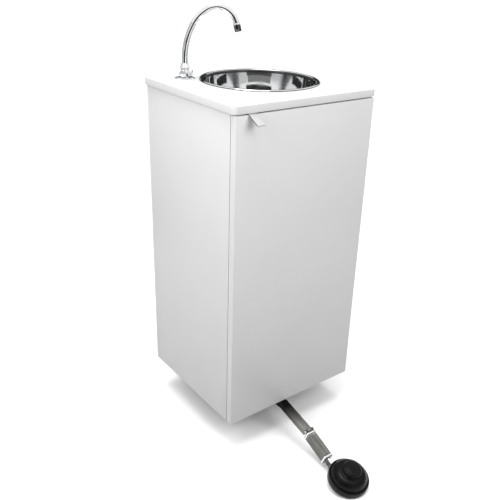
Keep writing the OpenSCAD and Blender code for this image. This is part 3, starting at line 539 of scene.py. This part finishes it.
def make_basin():
    inside = [Vector((DRAIN_R, FLAT_Z - 3.6)), Vector((DRAIN_R + 2, FLAT_Z - 3.0))]
    low, top = math.radians(WALL_LOW_A), math.radians(WALL_TOP_A)
    wall_r = RIM_TOP - LIP_R - LIP_R * math.sin(top) - FLAT_Z - FILLET_R - FILLET_R * math.sin(low)
    wall_r /= math.sin(top) - math.sin(low)
    wall_x = WALL_LOW_R - FILLET_R - (wall_r - FILLET_R) * math.cos(low)
    wall_z = FLAT_Z + FILLET_R - (wall_r - FILLET_R) * math.sin(low)
    inside += arc(WALL_LOW_R - FILLET_R, FLAT_Z + FILLET_R, FILLET_R, -88, WALL_LOW_A, 36)
    inside += arc(wall_x, wall_z, wall_r, WALL_LOW_A, WALL_TOP_A, 18)[1:-1]
    inside += arc(wall_x + (wall_r + LIP_R) * math.cos(top), RIM_TOP - LIP_R, LIP_R, 180 + WALL_TOP_A, 90, 14)
    inside += arc(146, RIM_TOP - 4, 4, 88, 20, 10)
    shell = inside + offset_path(inside, 1.0)[::-1]
    bm = bmesh.new()
    lathe(bm, shell, 256)
    for face in bm.faces:
        spot = face.calc_center_median()
        reach = math.hypot(spot.x, spot.y)
        if reach > RIM_EDGE_R or (reach < LIP_SHADE_R and spot.z > LIP_SHADE_Z):
            face.material_index = 1
    add_piece("basin_bowl", bm, [MIRROR_STEEL, RIM_SHADE], "cabinet", ["basin"], BASIN, 50)


def make_drain():
    z = FLAT_Z - 3
    bm = bmesh.new()
    outline = [Vector((18, z - 44)), Vector((18, z - 5)), Vector((18.2, z + 0.4))]
    outline += arc(24.5, z + 0.2, 3.4, 120, 10, 8)
    outline += [Vector((27.6, z + 0.55)), Vector((21, z + 0.5)), Vector((21, z - 44))]
    lathe(bm, outline, 96)
    plate = [Vector((0, z - 0.7)), Vector((17.9, z - 0.9)), Vector((17.9, z - 2.6)), Vector((0, z - 2.6))]
    lathe(bm, plate, 48, closed=False)
    add_piece("drain_flange", bm, MIRROR_STEEL, "cabinet", ["drain_strainer"], BASIN, 40)
    # Each hole is a thin ring with a dark disc in it: painted shade for the hole.
    holes = bmesh.new()
    for radius, count in ((0, 1), (6.5, 6), (12.5, 12)):
        for i in range(count):
            a = 2 * math.pi * i / count
            rim = place(radius * math.cos(a), radius * math.sin(a), z - 0.8 - radius * 0.012)
            lathe(holes, [Vector((1.9, 0.0)), Vector((1.9, 0.25)), Vector((1.6, 0.25)), Vector((1.6, 0.0))],
                  16, matrix=rim)
            lathe(holes, [Vector((0, 0.12)), Vector((1.7, 0.12)), Vector((1.7, 0.02)), Vector((0, 0.02))],
                  16, closed=False, material=1, matrix=rim)
    add_piece("drain_grid_holes", holes, [MIRROR_STEEL, RECESS_SHADE], "cabinet", (), BASIN, 40)
    from_cad("drain_nut", GREY_PLASTIC, "cabinet", 0.8, 2, 40)
    from_cad("drain_tailpiece", GREY_PLASTIC, "cabinet", 0.4, 2, 40)
    from_cad("basin_clips", ZINC, "cabinet", 0.4, 2, 40)


# ---------- tap ----------

SPOUT_BENDS = ((165.0, 30.0), (92.0, 28.0), (47.0, 108.0))
SPOUT_R = 7.5
SPOUT_STEP = 2.0
STRAIGHT_TOP = 46.0
# Half length and half width of the plug's slot, and the radius that marks its corner points
SLOT_HALF, SLOT_WIDE, SLOT_MARK = 4.0, 0.9, 1.0
AERATOR_RING = 4.0


def spout_path():
    """Points of the spout's centre line, its end and its end direction, in the tap's X, Z plane."""
    points = [Vector((0, 0, z)) for z in (8.5, 20.0, 34.0, STRAIGHT_TOP)]
    x, z, heading = 0.0, STRAIGHT_TOP, 0.0
    for radius, angle in SPOUT_BENDS:
        cx = x + radius * math.cos(math.radians(heading))
        cz = z - radius * math.sin(math.radians(heading))
        count = int(radius * math.radians(angle) / SPOUT_STEP) + 1
        for i in range(1, count + 1):
            a = math.radians(heading + angle * i / count)
            points.append(Vector((cx - radius * math.cos(a), 0, cz + radius * math.sin(a))))
        heading += angle
        x, z = points[-1].x, points[-1].z
    return points, heading


def slot_reach(a):
    """Distance from the middle of a screwdriver slot to its side, in the direction a."""
    return min(SLOT_HALF / max(abs(math.cos(a)), 1e-6), SLOT_WIDE / max(abs(math.sin(a)), 1e-6))


def make_tap():
    bm = bmesh.new()
    outline = [Vector((10.6, 0)), Vector((25, 0)), Vector((25, 0.9))]
    outline += arc(13, -25, 28.75, 65, 88, 10)
    outline += [Vector((12.6, 3.78)), Vector((10.6, 3.7))]
    lathe(bm, outline, 128)
    add_piece("tap_base_flange", bm, CHROME, "cabinet", ["tap_flange"], TAP, 40)

    bm = bmesh.new()
    outline = [Vector((0, 0.2)), Vector((10.5, 0.2)), Vector((10.5, 4.4))]
    outline += [Vector(p) for p in ((9.7, 5.2), (9.5, 7.5), (9.6, 19.0), (10.2, 20.4), (10.5, 21.2))]
    outline += [Vector((10.5, 23.2)), Vector((10.1, 23.9)), Vector((0, 23.9))]
    lathe(bm, outline, 96, closed=False)
    plug = [(6.9, 0), (6.9, 12.3), (7.5, 12.9), (8.0, 13.0)]
    plug += [(8.2, 13.3), (8.2, 15.3), (7.7, 15.9), (6.6, 16.0)]
    slot = [(SLOT_MARK, 16.0), (SLOT_MARK, 14.9), (0, 14.9)]
    lathe(
        bm, [Vector(p) for p in plug + slot], 64, closed=False,
        wobble=lambda a, p: slot_reach(a) - SLOT_MARK if p[0] == SLOT_MARK else 0.0,
        matrix=place(0, 0, SIDE_Z, "Z", PLUG_TURN) @ OUTWARD,
    )
    boss = [(6.0, 0), (6.0, 12.3), (5.5, 13.0), (0, 13.0)]
    lathe(bm, [Vector(p) for p in boss], 48, closed=False, matrix=place(0, 0, SIDE_Z, "Y", math.radians(90)))
    add_piece("tap_column", bm, CHROME, "cabinet", ["tap_body"], TAP, 40)

    bm = bmesh.new()
    outline = [(7.6, 24.1), (11.2, 24.1), (11.6, 24.5), (11.6, 27.4), (11.0, 28.2)]
    outline += [(10.2, 31.0), (9.1, 34.6), (8.7, 35.6), (8.2, 36), (7.6, 36)]
    lathe(bm, [Vector(p) for p in outline], 96)
    add_piece("spout_collar", bm, BRIGHT, "cabinet", ["spout_nut"], TAP, 40)

    points, heading = spout_path()
    bm = bmesh.new()
    sweep(bm, points, SPOUT_R - 0.3, 48)
    add_piece("gooseneck", bm, CHROME, "swivel_spout", ["spout"], TAP, 50)

    end = Matrix.Translation(points[-1]) @ Matrix.Rotation(math.radians(heading), 4, "Y")
    bm = bmesh.new()
    outline = [(7.2, 0.1), (8.2, 0.1), (8.55, 0.6), (8.55, 3.4), (8.1, 3.8), (8.1, 4.4)]
    outline += [(8.6, 4.8), (8.6, 17.4), (8.2, 18.3), (8.2, 18.9)]
    outline += [(7.6, 19.9), (6.9, 19.9), (6.9, 16.0), (0, 16.0)]
    lathe(
        bm, [Vector(p) for p in outline], 96, closed=False,
        wobble=lambda a, p: -0.22 * max(0.0, math.cos(24 * a)) if 4.7 < p[1] < 17.5 and p[0] > 8.5 else 0.0,
    )
    for face in bm.faces:
        if face.calc_center_median().z > AERATOR_RING:
            face.material_index = 1
    chrome_pair = [BRIGHT, SHADED_CHROME]
    add_piece("spout_aerator", bm, chrome_pair, "swivel_spout", ["aerator"], TAP @ end, 40)

    bm = bmesh.new()
    grip = rounded([(-8.1, -1.9, 1.5), (8.1, -1.9, 1.5), (8.1, 1.9, 1.5), (-8.1, 1.9, 1.5)], 4)
    prism(bm, grip, 3.4, 6.25)
    soften_edges(bm, 0.6, 3, 50)
    disc = [(0, 0.1), (6.6, 0.1), (7.0, 0.5), (7.0, 1.2), (7.6, 1.5)]
    disc += [(8.4, 1.9), (8.4, 3.2), (8.0, 3.7), (6.8, 3.8), (0, 3.8)]
    lathe(
        bm, [Vector(p) for p in disc], 96, closed=False,
        wobble=lambda a, p: -0.25 * max(0.0, math.cos(24 * a)) if p[0] == 8.4 else 0.0,
    )
    knob = TAP @ place(13.1, 0, SIDE_Z, "Y", math.radians(90))
    add_piece("tap_handle", bm, CHROME, "lever", ["tap_lever"], knob, 40)

    bm = bmesh.new()
    thread = [Vector((5.1, 0)), Vector((5.1, -62))]
    z = -62.0
    while z < -1.6:
        thread += [Vector((7.3, z)), Vector((8.0, z + 0.7)), Vector((7.3, z + 1.4))]
        z += 1.5
    thread.append(Vector((7.3, 0)))
    lathe(bm, thread, 48)
    add_piece("threaded_shank", bm, BRASS, "cabinet", ["tap_shank"], TAP, 25)
    from_cad("tap_lock_nut", BRASS, "cabinet", 0.6, 2, 40)


# ---------- door ----------

def make_door():
    from_cad("door_panel", WHITE, "door", 1.1, 4, 40)
    # The pull's top is painted darker than the door's white, and its ends dark: painted shade.
    pull = from_cad("door_pull", [WHITE_PLASTIC_SHADED, PULL_END_SHADE], "door", 0.45, 3, 30)
    # Faces turned along X, the pull's ends, take the dark colour: painted shade.
    for face in pull.data.polygons:
        if abs(face.normal.x) > 0.2:
            face.material_index = 1
    for node, body in (
        ("catch_plate", "door"), ("hinge_door_leaves", "door"),
        ("hinge_frame_leaves", "cabinet"), ("hinge_pins", "cabinet"),
    ):
        from_cad(node, ZINC, body, 0.2, 2, 40)
    from_cad("magnetic_catch", GREY_PLASTIC, "cabinet", 1.0, 3, 40)


# ---------- pedal arm ----------

PIN_UP = 10.0
# Half widths of the sleeve's groove floors, whose faces get painted shade
GROOVE_FLOOR = (11.0, 12.2)


def make_arm():
    from_cad("arm_bar", BAR_STEEL, "cabinet", 1.6, 4, 50)
    from_cad("arm_knuckle", LINK_STEEL, "cabinet", 0.5, 2, 40)
    from_cad("arm_pin", ZINC, "cabinet", 0.4, 2, 40)
    from_cad("arm_clamps", ZINC, "cabinet", 0.5, 2, 40)
    sleeve = from_cad("arm_sleeve", [SLEEVE, RECESS_SHADE], "pedal_arm", 0.3, 2, 40)
    home = (Matrix.Scale(MM, 4) @ LINK).inverted()
    # Groove floors take the dark colour: painted shade.
    for face in sleeve.data.polygons:
        spot = home @ face.center
        if GROOVE_FLOOR[0] < max(abs(spot.x), abs(spot.z + PIN_UP)) < GROOVE_FLOOR[1]:
            face.material_index = 1
    from_cad("sleeve_rims", BRIGHT, "pedal_arm", 0.8, 3, 40)
    from_cad("pump_pipe", LINK_STEEL, "pedal_arm", 0.2, 2, 40)
    nut = from_cad("union_nut", [BRIGHT, SHADED_CHROME], "pedal_arm", 0.8, 3, 25)
    for face in nut.data.polygons:
        turn = (home.to_3x3() @ face.normal).normalized()
        if abs(turn.y) < 0.3 and (turn.z < -0.3 or abs(turn.x) > 0.8):
            face.material_index = 1


# ---------- foot pump ----------

def make_pump():
    from_cad("pump_base", RUBBER, "pedal_arm", 0.9, 3, 40)

    bm = bmesh.new()
    ring = rounded([(47.1, 11, 0.3), (52, 11.05, 0.6), (52, 15, 1.6), (47.1, 15, 0.8)], 5)
    lathe(bm, ring, 160)
    add_piece("pump_rim", bm, RUBBER, "pedal_arm", ["pump_clamp_ring"], PUMP, 50)

    bm = bmesh.new()
    outside = [Vector((46.7, 11.1)), Vector((46.7, 16.0))]
    outside += [Vector((45.5, 16.7)), Vector((45.3, 17.5))]
    outside += arc(22, 13, 24.5, 13, 60, 22)
    shoulder = ((31.9, 35.4), (28.6, 35.9), (25.2, 36.0), (23.4, 36.4), (22.6, 37.2), (22.5, 38.4))
    outside += [Vector(p) for p in shoulder]
    lathe(bm, outside + offset_path(outside, -2.2)[::-1], 160)
    dome = add_piece("pump_bellows", bm, RUBBER, "pedal_arm", ["pump_dome"], PUMP, 50)

    bm = bmesh.new()
    cap = [Vector((0, 38.5)), Vector((22.4, 38.5)), Vector((23.2, 39.1))]
    cap += arc(19, 43.5, 5, -28, 74, 12)
    cap += [Vector(p) for p in ((18.8, 48.5), (17.8, 48.05), (16.6, 48.05), (15.6, 48.5), (0, 48.95))]
    lathe(bm, cap, 128, closed=False)
    add_piece("foot_cap", bm, RUBBER, "foot_button", ["pump_button"], PUMP, 45)

    bm = bmesh.new()
    turns, radius, wire, low, high = 5.0, 17.0, 1.1, 6.1, 37.3
    coil = []
    for i in range(241):
        share = i / 240
        a = 2 * math.pi * turns * share
        coil.append(Vector((radius * math.cos(a), radius * math.sin(a), low + (high - low) * share)))
    sweep(bm, coil, wire, 12)
    spring = add_piece("return_spring", bm, ZINC, "pedal_arm", ["pump_spring"], PUMP, 60)

    for piece, foot, height in ((dome, 11.0, 27.5), (spring, 5.0, 33.5)):
        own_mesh(piece)


# ---------- water cans and hoses ----------

def make_can(name, node, x, material):
    bm = bmesh.new()
    half_w, half_d = CAN_W / 2, CAN_D / 2
    outline = [(-half_w, -half_d), (half_w, -half_d), (half_w, half_d), (-half_w, half_d)]
    prism(bm, outline, 0, CAN_H)
    bmesh.ops.bevel(bm, geom=bm.edges[:], offset=15.5, segments=6, profile=0.5, affect="EDGES")
    bm.normal_update()
    for face in [f for f in bm.faces if f.calc_area() > 20000]:
        bmesh.ops.inset_region(bm, faces=[face], thickness=14, depth=0)
        bmesh.ops.inset_region(bm, faces=[face], thickness=5, depth=-2.5)
    neck = [(20.5, CAN_H - 4), (24, CAN_H - 4), (24, CAN_H + 2)]
    neck += [(p.x, p.y) for p in arc(23, CAN_H + 4, 1.6, -80, 80, 6)]
    neck += [(24, CAN_H + 8), (24, CAN_H + 21), (23, CAN_H + 22), (20.5, CAN_H + 22)]
    lathe(bm, [Vector(p) for p in neck], 64, matrix=place(0, NECK_Y - CAN_Y, 0))
    path = []
    for y, z in (
        (-43, -6), (-43, 6), (-42, 14), (-37, 21.5), (-29, 25), (0, 25.3),
        (29, 25), (37, 21.5), (42, 14), (43, 6), (43, -6),
    ):
        path.append(Vector((0, HANDLE_Y + y, CAN_H + z)))
    before = set(bm.verts)
    sweep(bm, path, 6.6, 20)
    for v in bm.verts:
        if v not in before:
            v.co.x *= 1.5
    add_piece(name, bm, material, "cabinet", [node], place(x, CAN_Y, BASE_TOP), 40)


def bend_rise(shift, bend):
    """Height that the two bends of a hose path take up."""
    return 2 * bend * math.sin(math.acos(1 - shift / (2 * bend)))


def hose_path(shift, bend, below, above):
    """Up, across by shift in X with two bends, and up again."""
    angle = math.acos(1 - shift / (2 * bend))
    top = below + bend_rise(shift, bend)
    path = [Vector((0, 0, below * i / 6)) for i in range(7)]
    for i in range(1, BEND_STEPS + 1):
        a = angle * i / BEND_STEPS
        path.append(Vector((bend * (1 - math.cos(a)), 0, below + bend * math.sin(a))))
    for i in range(BEND_STEPS - 1, -1, -1):
        a = angle * i / BEND_STEPS
        path.append(Vector((shift - bend * (1 - math.cos(a)), 0, top - bend * math.sin(a))))
    path += [Vector((shift, 0, top + above * i / 4)) for i in range(1, 5)]
    return path


def make_water_system():
    make_can("fresh_can_body", "fresh_water_can", -CAN_X, CAN)
    make_can("waste_can_body", "waste_water_can", CAN_X, CAN_WASTE)
    from_cad("fresh_can_cap", BLUE_PLASTIC, "cabinet", 0.6, 2, 50)
    from_cad("waste_can_cap", GREY_PLASTIC, "cabinet", 0.6, 2, 50)
    from_cad("hose_nipple", BRASS, "cabinet", 0.3, 2, 40)

    start = BASE_TOP + 20
    shift = math.hypot(TAP_X + CAN_X, TAP_Y - NECK_Y)
    top = COUNTER_TOP - 50
    above = top - start - SUPPLY_STRAIGHT - bend_rise(shift, SUPPLY_BEND)
    path = hose_path(shift, SUPPLY_BEND, SUPPLY_STRAIGHT, above)
    bm = bmesh.new()
    sweep(bm, path, 4.75, 24)
    at = place(-CAN_X, NECK_Y, start, "Z", math.atan2(TAP_Y - NECK_Y, TAP_X + CAN_X))
    add_piece("supply_hose", bm, HOSE, "cabinet", ["water_hose"], at, 60)

    start = corner("air_hose", 0).z
    span = math.hypot(-CAN_X + 12 - PIN.x, NECK_Y - NIPPLE_Y)
    cap_top = BASE_TOP + CAN_H + 22 + 20 - 16
    rise = AIR_HOSE_TOP - start
    path = [Vector((0, 0, rise * i / 8)) for i in range(9)]
    for i in range(1, 33):
        a = math.pi * i / 32
        path.append(Vector((span / 2 * (1 - math.cos(a)), 0, rise + span / 2 * math.sin(a))))
    path += [Vector((span, 0, rise - (AIR_HOSE_TOP - cap_top + 3.8) * i / 3)) for i in range(1, 4)]
    bm = bmesh.new()
    sweep(bm, path, 4.95, 24)
    at = place(PIN.x, NIPPLE_Y, start, "Z", math.atan2(NECK_Y - NIPPLE_Y, -CAN_X + 12 - PIN.x))
    add_piece("air_line", bm, HOSE, "cabinet", ["air_hose"], at, 60)

    low = corner("waste_hose", 0).z
    high = corner("waste_hose", 1).z
    shift = math.hypot(CAN_X - BASIN_X, NECK_Y - BASIN_Y)
    spare = (high - low - bend_rise(shift, WASTE_BEND)) / 2
    path = hose_path(shift, WASTE_BEND, spare, spare)
    length = sum((b - a).length for a, b in zip(path, path[1:]))
    fine = resample(path, 150)

    def ribbed(run):
        """Radius of the ribbed hose at a distance along it, with a smooth cuff at each end."""
        if run < CUFF or run > length - CUFF:
            return 15.75
        return 14.9 + 0.8 * math.cos(run * 2 * math.pi / RIB_PITCH)

    bm = bmesh.new()
    sweep(bm, fine, ribbed, 32)
    at = place(CAN_X, NECK_Y, low, "Z", math.atan2(BASIN_Y - NECK_Y, BASIN_X - CAN_X))
    add_piece("waste_pipe", bm, GREY_PLASTIC, "cabinet", ["waste_hose"], at, 60)


def resample(path, count):
    """The same path as evenly spaced points."""
    lengths = [0.0]
    for a, b in zip(path, path[1:]):
        lengths.append(lengths[-1] + (b - a).length)
    out = []
    k = 0
    for i in range(count + 1):
        run = lengths[-1] * i / count
        while k < len(path) - 2 and lengths[k + 1] < run:
            k += 1
        span = lengths[k + 1] - lengths[k]
        share = (run - lengths[k]) / span if span > 0 else 0.0
        out.append(path[k].lerp(path[k + 1], min(max(share, 0.0), 1.0)))
    return out


# ---------- wheels and feet ----------

def make_wheels():
    for node, body in (("left_wheel", "left_rear_wheel"), ("right_wheel", "right_rear_wheel")):
        low, high = corner(node, 0), corner(node, 1)
        centre = (low + high) / 2
        radius = (high.z - low.z) / 2
        half = (high.x - low.x) / 2
        spin = place(centre.x, centre.y, centre.z, "Y", math.radians(90))
        bm = bmesh.new()
        tyre = rounded([
            (radius - 12, -half + 1.2, 0.6), (radius - 3, -half + 1.2, 2.5), (radius, -half + 5, 3.5),
            (radius, half - 5, 3.5), (radius - 3, half - 1.2, 2.5), (radius - 12, half - 1.2, 0.6),
        ], 5)
        lathe(bm, tyre, 96, material=0)
        core = rounded([
            (4.06, -half, 0.4), (11, -half, 0.8), (11, -half + 3, 1.0), (radius - 12.4, -half + 3, 1.0),
            (radius - 12.0, -half + 1.5, 0.4), (radius - 12.0, half - 1.5, 0.4),
            (radius - 12.4, half - 3, 1.0), (11, half - 3, 1.0), (11, half, 0.8), (4.06, half, 0.4),
        ], 4)
        lathe(bm, core, 96, material=1)
        for side in (-1, 1):
            for i in range(6):
                a = 2 * math.pi * i / 6
                rib = Matrix.Rotation(a, 4, "Z")
                face = side * (half - 3.1)
                tip = side * (half - 1.6)
                prism(
                    bm, [(10.4, -1.3), (radius - 12.6, -1.0), (radius - 12.6, 1.0), (10.4, 1.3)],
                    min(face, tip), max(face, tip), 1, rib,
                )
        add_piece(node + "_finished", bm, [TYRE, GREY_PLASTIC], body, [node], spin, 35)
    from_cad("wheel_brackets", ZINC, "cabinet", 0.5, 2, 40)
    from_cad("wheel_axles", ZINC, "cabinet", 0.5, 2, 40)
    from_cad("foot_posts", ZINC, "cabinet", 0.5, 2, 40)
    from_cad("foot_pads", RUBBER, "cabinet", 0.8, 3, 25)


def make_fasteners():
    heads = []
    inside_x = corner("left_side_panel", 1).x
    for side in (-1, 1):
        for y in (90.0, 362.0):
            for z in (BASE_TOP + 18, COUNTER_TOP - BOARD - 18):
                x = side * (abs(inside_x) - 2.0)
                matrix = place(x, FRONT_Y + y, z, "Y", -side * math.radians(90))
                heads.append((matrix, 3.6, 1.9, 1.9, 11.8))
    make_screws("bracket_screw_set", "bracket_screws", heads, "cabinet")
    low = corner("clamp_screws", 0).z
    heads = []
    for y in (30.0, 52.0):
        for side in (-1, 1):
            matrix = place(PIN.x + side * 18, FRONT_Y + y, low + 2.2, "X", math.radians(180))
            heads.append((matrix, 4.0, 2.1, 2.0, 12.6))
    make_screws("clamp_screw_set", "clamp_screws", heads, "cabinet")
    from_cad("pull_screws", ZINC, "door", 0.2, 2, 40)
    from_cad("basin_gasket", RUBBER, "cabinet", 0.2, 2, 40)


# ---------- floor, light and camera ----------

def make_stage():
    material, nodes, links, shader = new_material("floor_surface")
    where = nodes.new("ShaderNodeTexCoord")
    tone = texture_noise(nodes, links, where, 1.5, 3.0)
    uneven = spread(nodes, links, tone, 0.0, 1.0)
    colour = mix_colours(nodes, links, uneven, (0.93, 0.93, 0.93), (0.95, 0.95, 0.95))
    path = nodes.new("ShaderNodeLightPath")
    mix = nodes.new("ShaderNodeMix")
    mix.data_type = "RGBA"
    mix.inputs["B"].default_value = (0.16, 0.16, 0.16, 1)
    links.new(path.outputs["Is Diffuse Ray"], mix.inputs["Factor"])
    links.new(colour, mix.inputs["A"])
    links.new(mix.outputs["Result"], shader.inputs["Base Color"])
    shader.inputs["Roughness"].default_value = 0.7
    mesh = bpy.data.meshes.new("floor")
    mesh.from_pydata([(-30, -30, 0), (30, -30, 0), (30, 30, 0), (-30, 30, 0)], [], [(0, 1, 2, 3)])
    mesh.materials.append(material)
    floor = bpy.data.objects.new("floor", mesh)
    bpy.context.collection.objects.link(floor)


def add_light(name, size, power, place_at, aim):
    data = bpy.data.lights.new(name, "AREA")
    data.shape = "RECTANGLE"
    data.size, data.size_y = size
    data.energy = power
    light = bpy.data.objects.new(name, data)
    bpy.context.collection.objects.link(light)
    light.visible_camera = False
    light.visible_glossy = False
    light.location = place_at
    light.rotation_euler = (Vector(aim) - Vector(place_at)).to_track_quat("-Z", "Y").to_euler()


def add_card(name, start, end, tone, low, high, radius=1.5, middle=(0.0, 0.0)):
    """A curved glowing card that only reflections see, so that polished metal has tones to show.

    start and end are angles in degrees from +X.
    """
    material, _, _, shader = new_material(name + "_surface")
    shader.inputs["Base Color"].default_value = (0, 0, 0, 1)
    shader.inputs["Roughness"].default_value = 1.0
    shader.inputs["Specular IOR Level"].default_value = 0.0
    shader.inputs["Emission Color"].default_value = (tone, tone, tone, 1)
    shader.inputs["Emission Strength"].default_value = 1.0
    steps = max(2, int((end - start) / 4))
    verts, faces = [], []
    for i in range(steps + 1):
        a = math.radians(start + (end - start) * i / steps)
        for z in (low, high):
            verts.append((middle[0] + radius * math.cos(a), middle[1] + radius * math.sin(a), z))
    for i in range(steps):
        faces.append((2 * i, 2 * i + 2, 2 * i + 3, 2 * i + 1))
    mesh = bpy.data.meshes.new(name)
    mesh.from_pydata(verts, [], faces)
    mesh.materials.append(material)
    card = bpy.data.objects.new(name, mesh)
    bpy.context.collection.objects.link(card)
    card.visible_camera = False
    card.visible_diffuse = False
    card.visible_shadow = False
    card.visible_transmission = False


# Start, end, brightness, lowest and highest point of each card, going round from +X
CARDS = (
    (-168, -106, 0.02, 0.02, 0.86), (-106, -76, 0.75, 0.02, 0.86), (-76, -16, 0.24, 0.02, 1.10),
    (-16, 30, 0.42, 0.02, 1.10), (30, 70, 0.60, 0.02, 1.10), (70, 165, 0.52, 0.02, 1.60),
    (165, 192, 0.55, 0.02, 1.00), (-160, -98, 0.04, 0.86, 1.03), (-158, -101, 0.22, 1.03, 1.15),
    (-162, -96, 0.03, 1.19, 1.38), (-98, -76, 0.60, 0.86, 1.15), (28, 84, 0.04, 1.00, 1.45),
)
# Low dark cards beside the tap, at its left and its right
TAP_CARDS = ((95, 185), (-85, 5))


# Name, power in watts, place and aim of each square softbox
SOFTBOX_SIZE = (0.9, 0.9)
SOFTBOXES = (
    ("left_softbox", 12.5, (-1.25, -0.10, 1.35), (-0.2, 0.1, 0.75)),
    ("front_softbox", 15.2, (0.20, -1.35, 1.60), (0.16, -0.05, 0.90)),
)
SUN_STRENGTH, SUN_SPREAD = 2.0, math.radians(36)
# Height and brightness of the sky, as diffuse rays see it and as reflections see it
SKIES = (
    ((0.0, 0.08), (0.10, 0.14), (0.28, 0.34), (0.55, 0.55), (1.0, 1.0)),
    ((0.0, 0.30), (0.08, 0.55), (0.17, 0.95), (0.40, 1.0), (1.0, 1.0)),
)


def make_lights():
    for name, power, place_at, aim in SOFTBOXES:
        add_light(name, SOFTBOX_SIZE, power, place_at, aim)
    data = bpy.data.lights.new("overhead", "SUN")
    data.energy = SUN_STRENGTH
    data.angle = SUN_SPREAD
    overhead = bpy.data.objects.new("overhead", data)
    bpy.context.collection.objects.link(overhead)
    overhead.rotation_euler = (math.radians(-4), math.radians(-6), 0)
    for number, (start, end, tone, low, high) in enumerate(CARDS):
        add_card("card_%d" % number, start, end, tone, low, high)
    low = (COUNTER_TOP + 0.5) * MM
    for number, (start, end) in enumerate(TAP_CARDS):
        add_card(
            "tap_card_%d" % number, start, end, 0.03, low, low + 0.012, 0.05,
            (TAP_X * MM, TAP_Y * MM),
        )


def make_world():
    """A sky that is white to the camera, and dimmer near the horizon to everything else."""
    world = bpy.data.worlds.new("studio")
    bpy.context.scene.world = world
    world.use_nodes = True
    nodes, links = world.node_tree.nodes, world.node_tree.links
    nodes.clear()
    where = nodes.new("ShaderNodeTexCoord")
    split = nodes.new("ShaderNodeSeparateXYZ")
    links.new(where.outputs["Generated"], split.inputs["Vector"])
    skies = []
    for stops in SKIES:
        ramp = nodes.new("ShaderNodeValToRGB")
        ramp.color_ramp.interpolation = "EASE"
        elements = ramp.color_ramp.elements
        while len(elements) < len(stops):
            elements.new(0.5)
        for element, (at, tone) in zip(elements, stops):
            element.position = at
            element.color = (tone, tone, tone, 1)
        links.new(split.outputs["Z"], ramp.inputs["Fac"])
        skies.append(ramp.outputs["Color"])
    path = nodes.new("ShaderNodeLightPath")
    shine = nodes.new("ShaderNodeMix")
    shine.data_type = "RGBA"
    links.new(path.outputs["Is Glossy Ray"], shine.inputs["Factor"])
    links.new(skies[0], shine.inputs["A"])
    links.new(skies[1], shine.inputs["B"])
    mix = nodes.new("ShaderNodeMix")
    mix.data_type = "RGBA"
    mix.inputs["B"].default_value = (1, 1, 1, 1)
    links.new(path.outputs["Is Camera Ray"], mix.inputs["Factor"])
    links.new(shine.outputs["Result"], mix.inputs["A"])
    background = nodes.new("ShaderNodeBackground")
    background.inputs["Strength"].default_value = 1.0
    links.new(mix.outputs["Result"], background.inputs["Color"])
    out = nodes.new("ShaderNodeOutputWorld")
    links.new(background.outputs["Background"], out.inputs["Surface"])
    bpy.context.scene.view_settings.view_transform = "Standard"


CAMERA_PLACE = Vector((-0.9755, -1.1095, 1.2008))
CAMERA_AIM = Vector((-0.0046, 0.0906, 0.4885))
CAMERA_ROLL = 2.385
CAMERA_LENS = 46.65
CAMERA_SHIFT_X = -0.0350


def make_camera():
    data = bpy.data.cameras.new("camera")
    data.lens = CAMERA_LENS
    data.sensor_width = 36.0
    data.shift_x = CAMERA_SHIFT_X
    camera = bpy.data.objects.new("camera", data)
    bpy.context.collection.objects.link(camera)
    turn = (CAMERA_AIM - CAMERA_PLACE).to_track_quat("-Z", "Y").to_matrix().to_4x4()
    camera.matrix_world = (
        Matrix.Translation(CAMERA_PLACE) @ turn @ Matrix.Rotation(math.radians(CAMERA_ROLL), 4, "Z")
    )
    bpy.context.scene.camera = camera


make_cabinet()
make_basin()
make_drain()
make_tap()
make_door()
make_arm()
make_pump()
make_water_system()
make_wheels()
make_fasteners()
make_stage()
make_lights()
make_world()
make_camera()
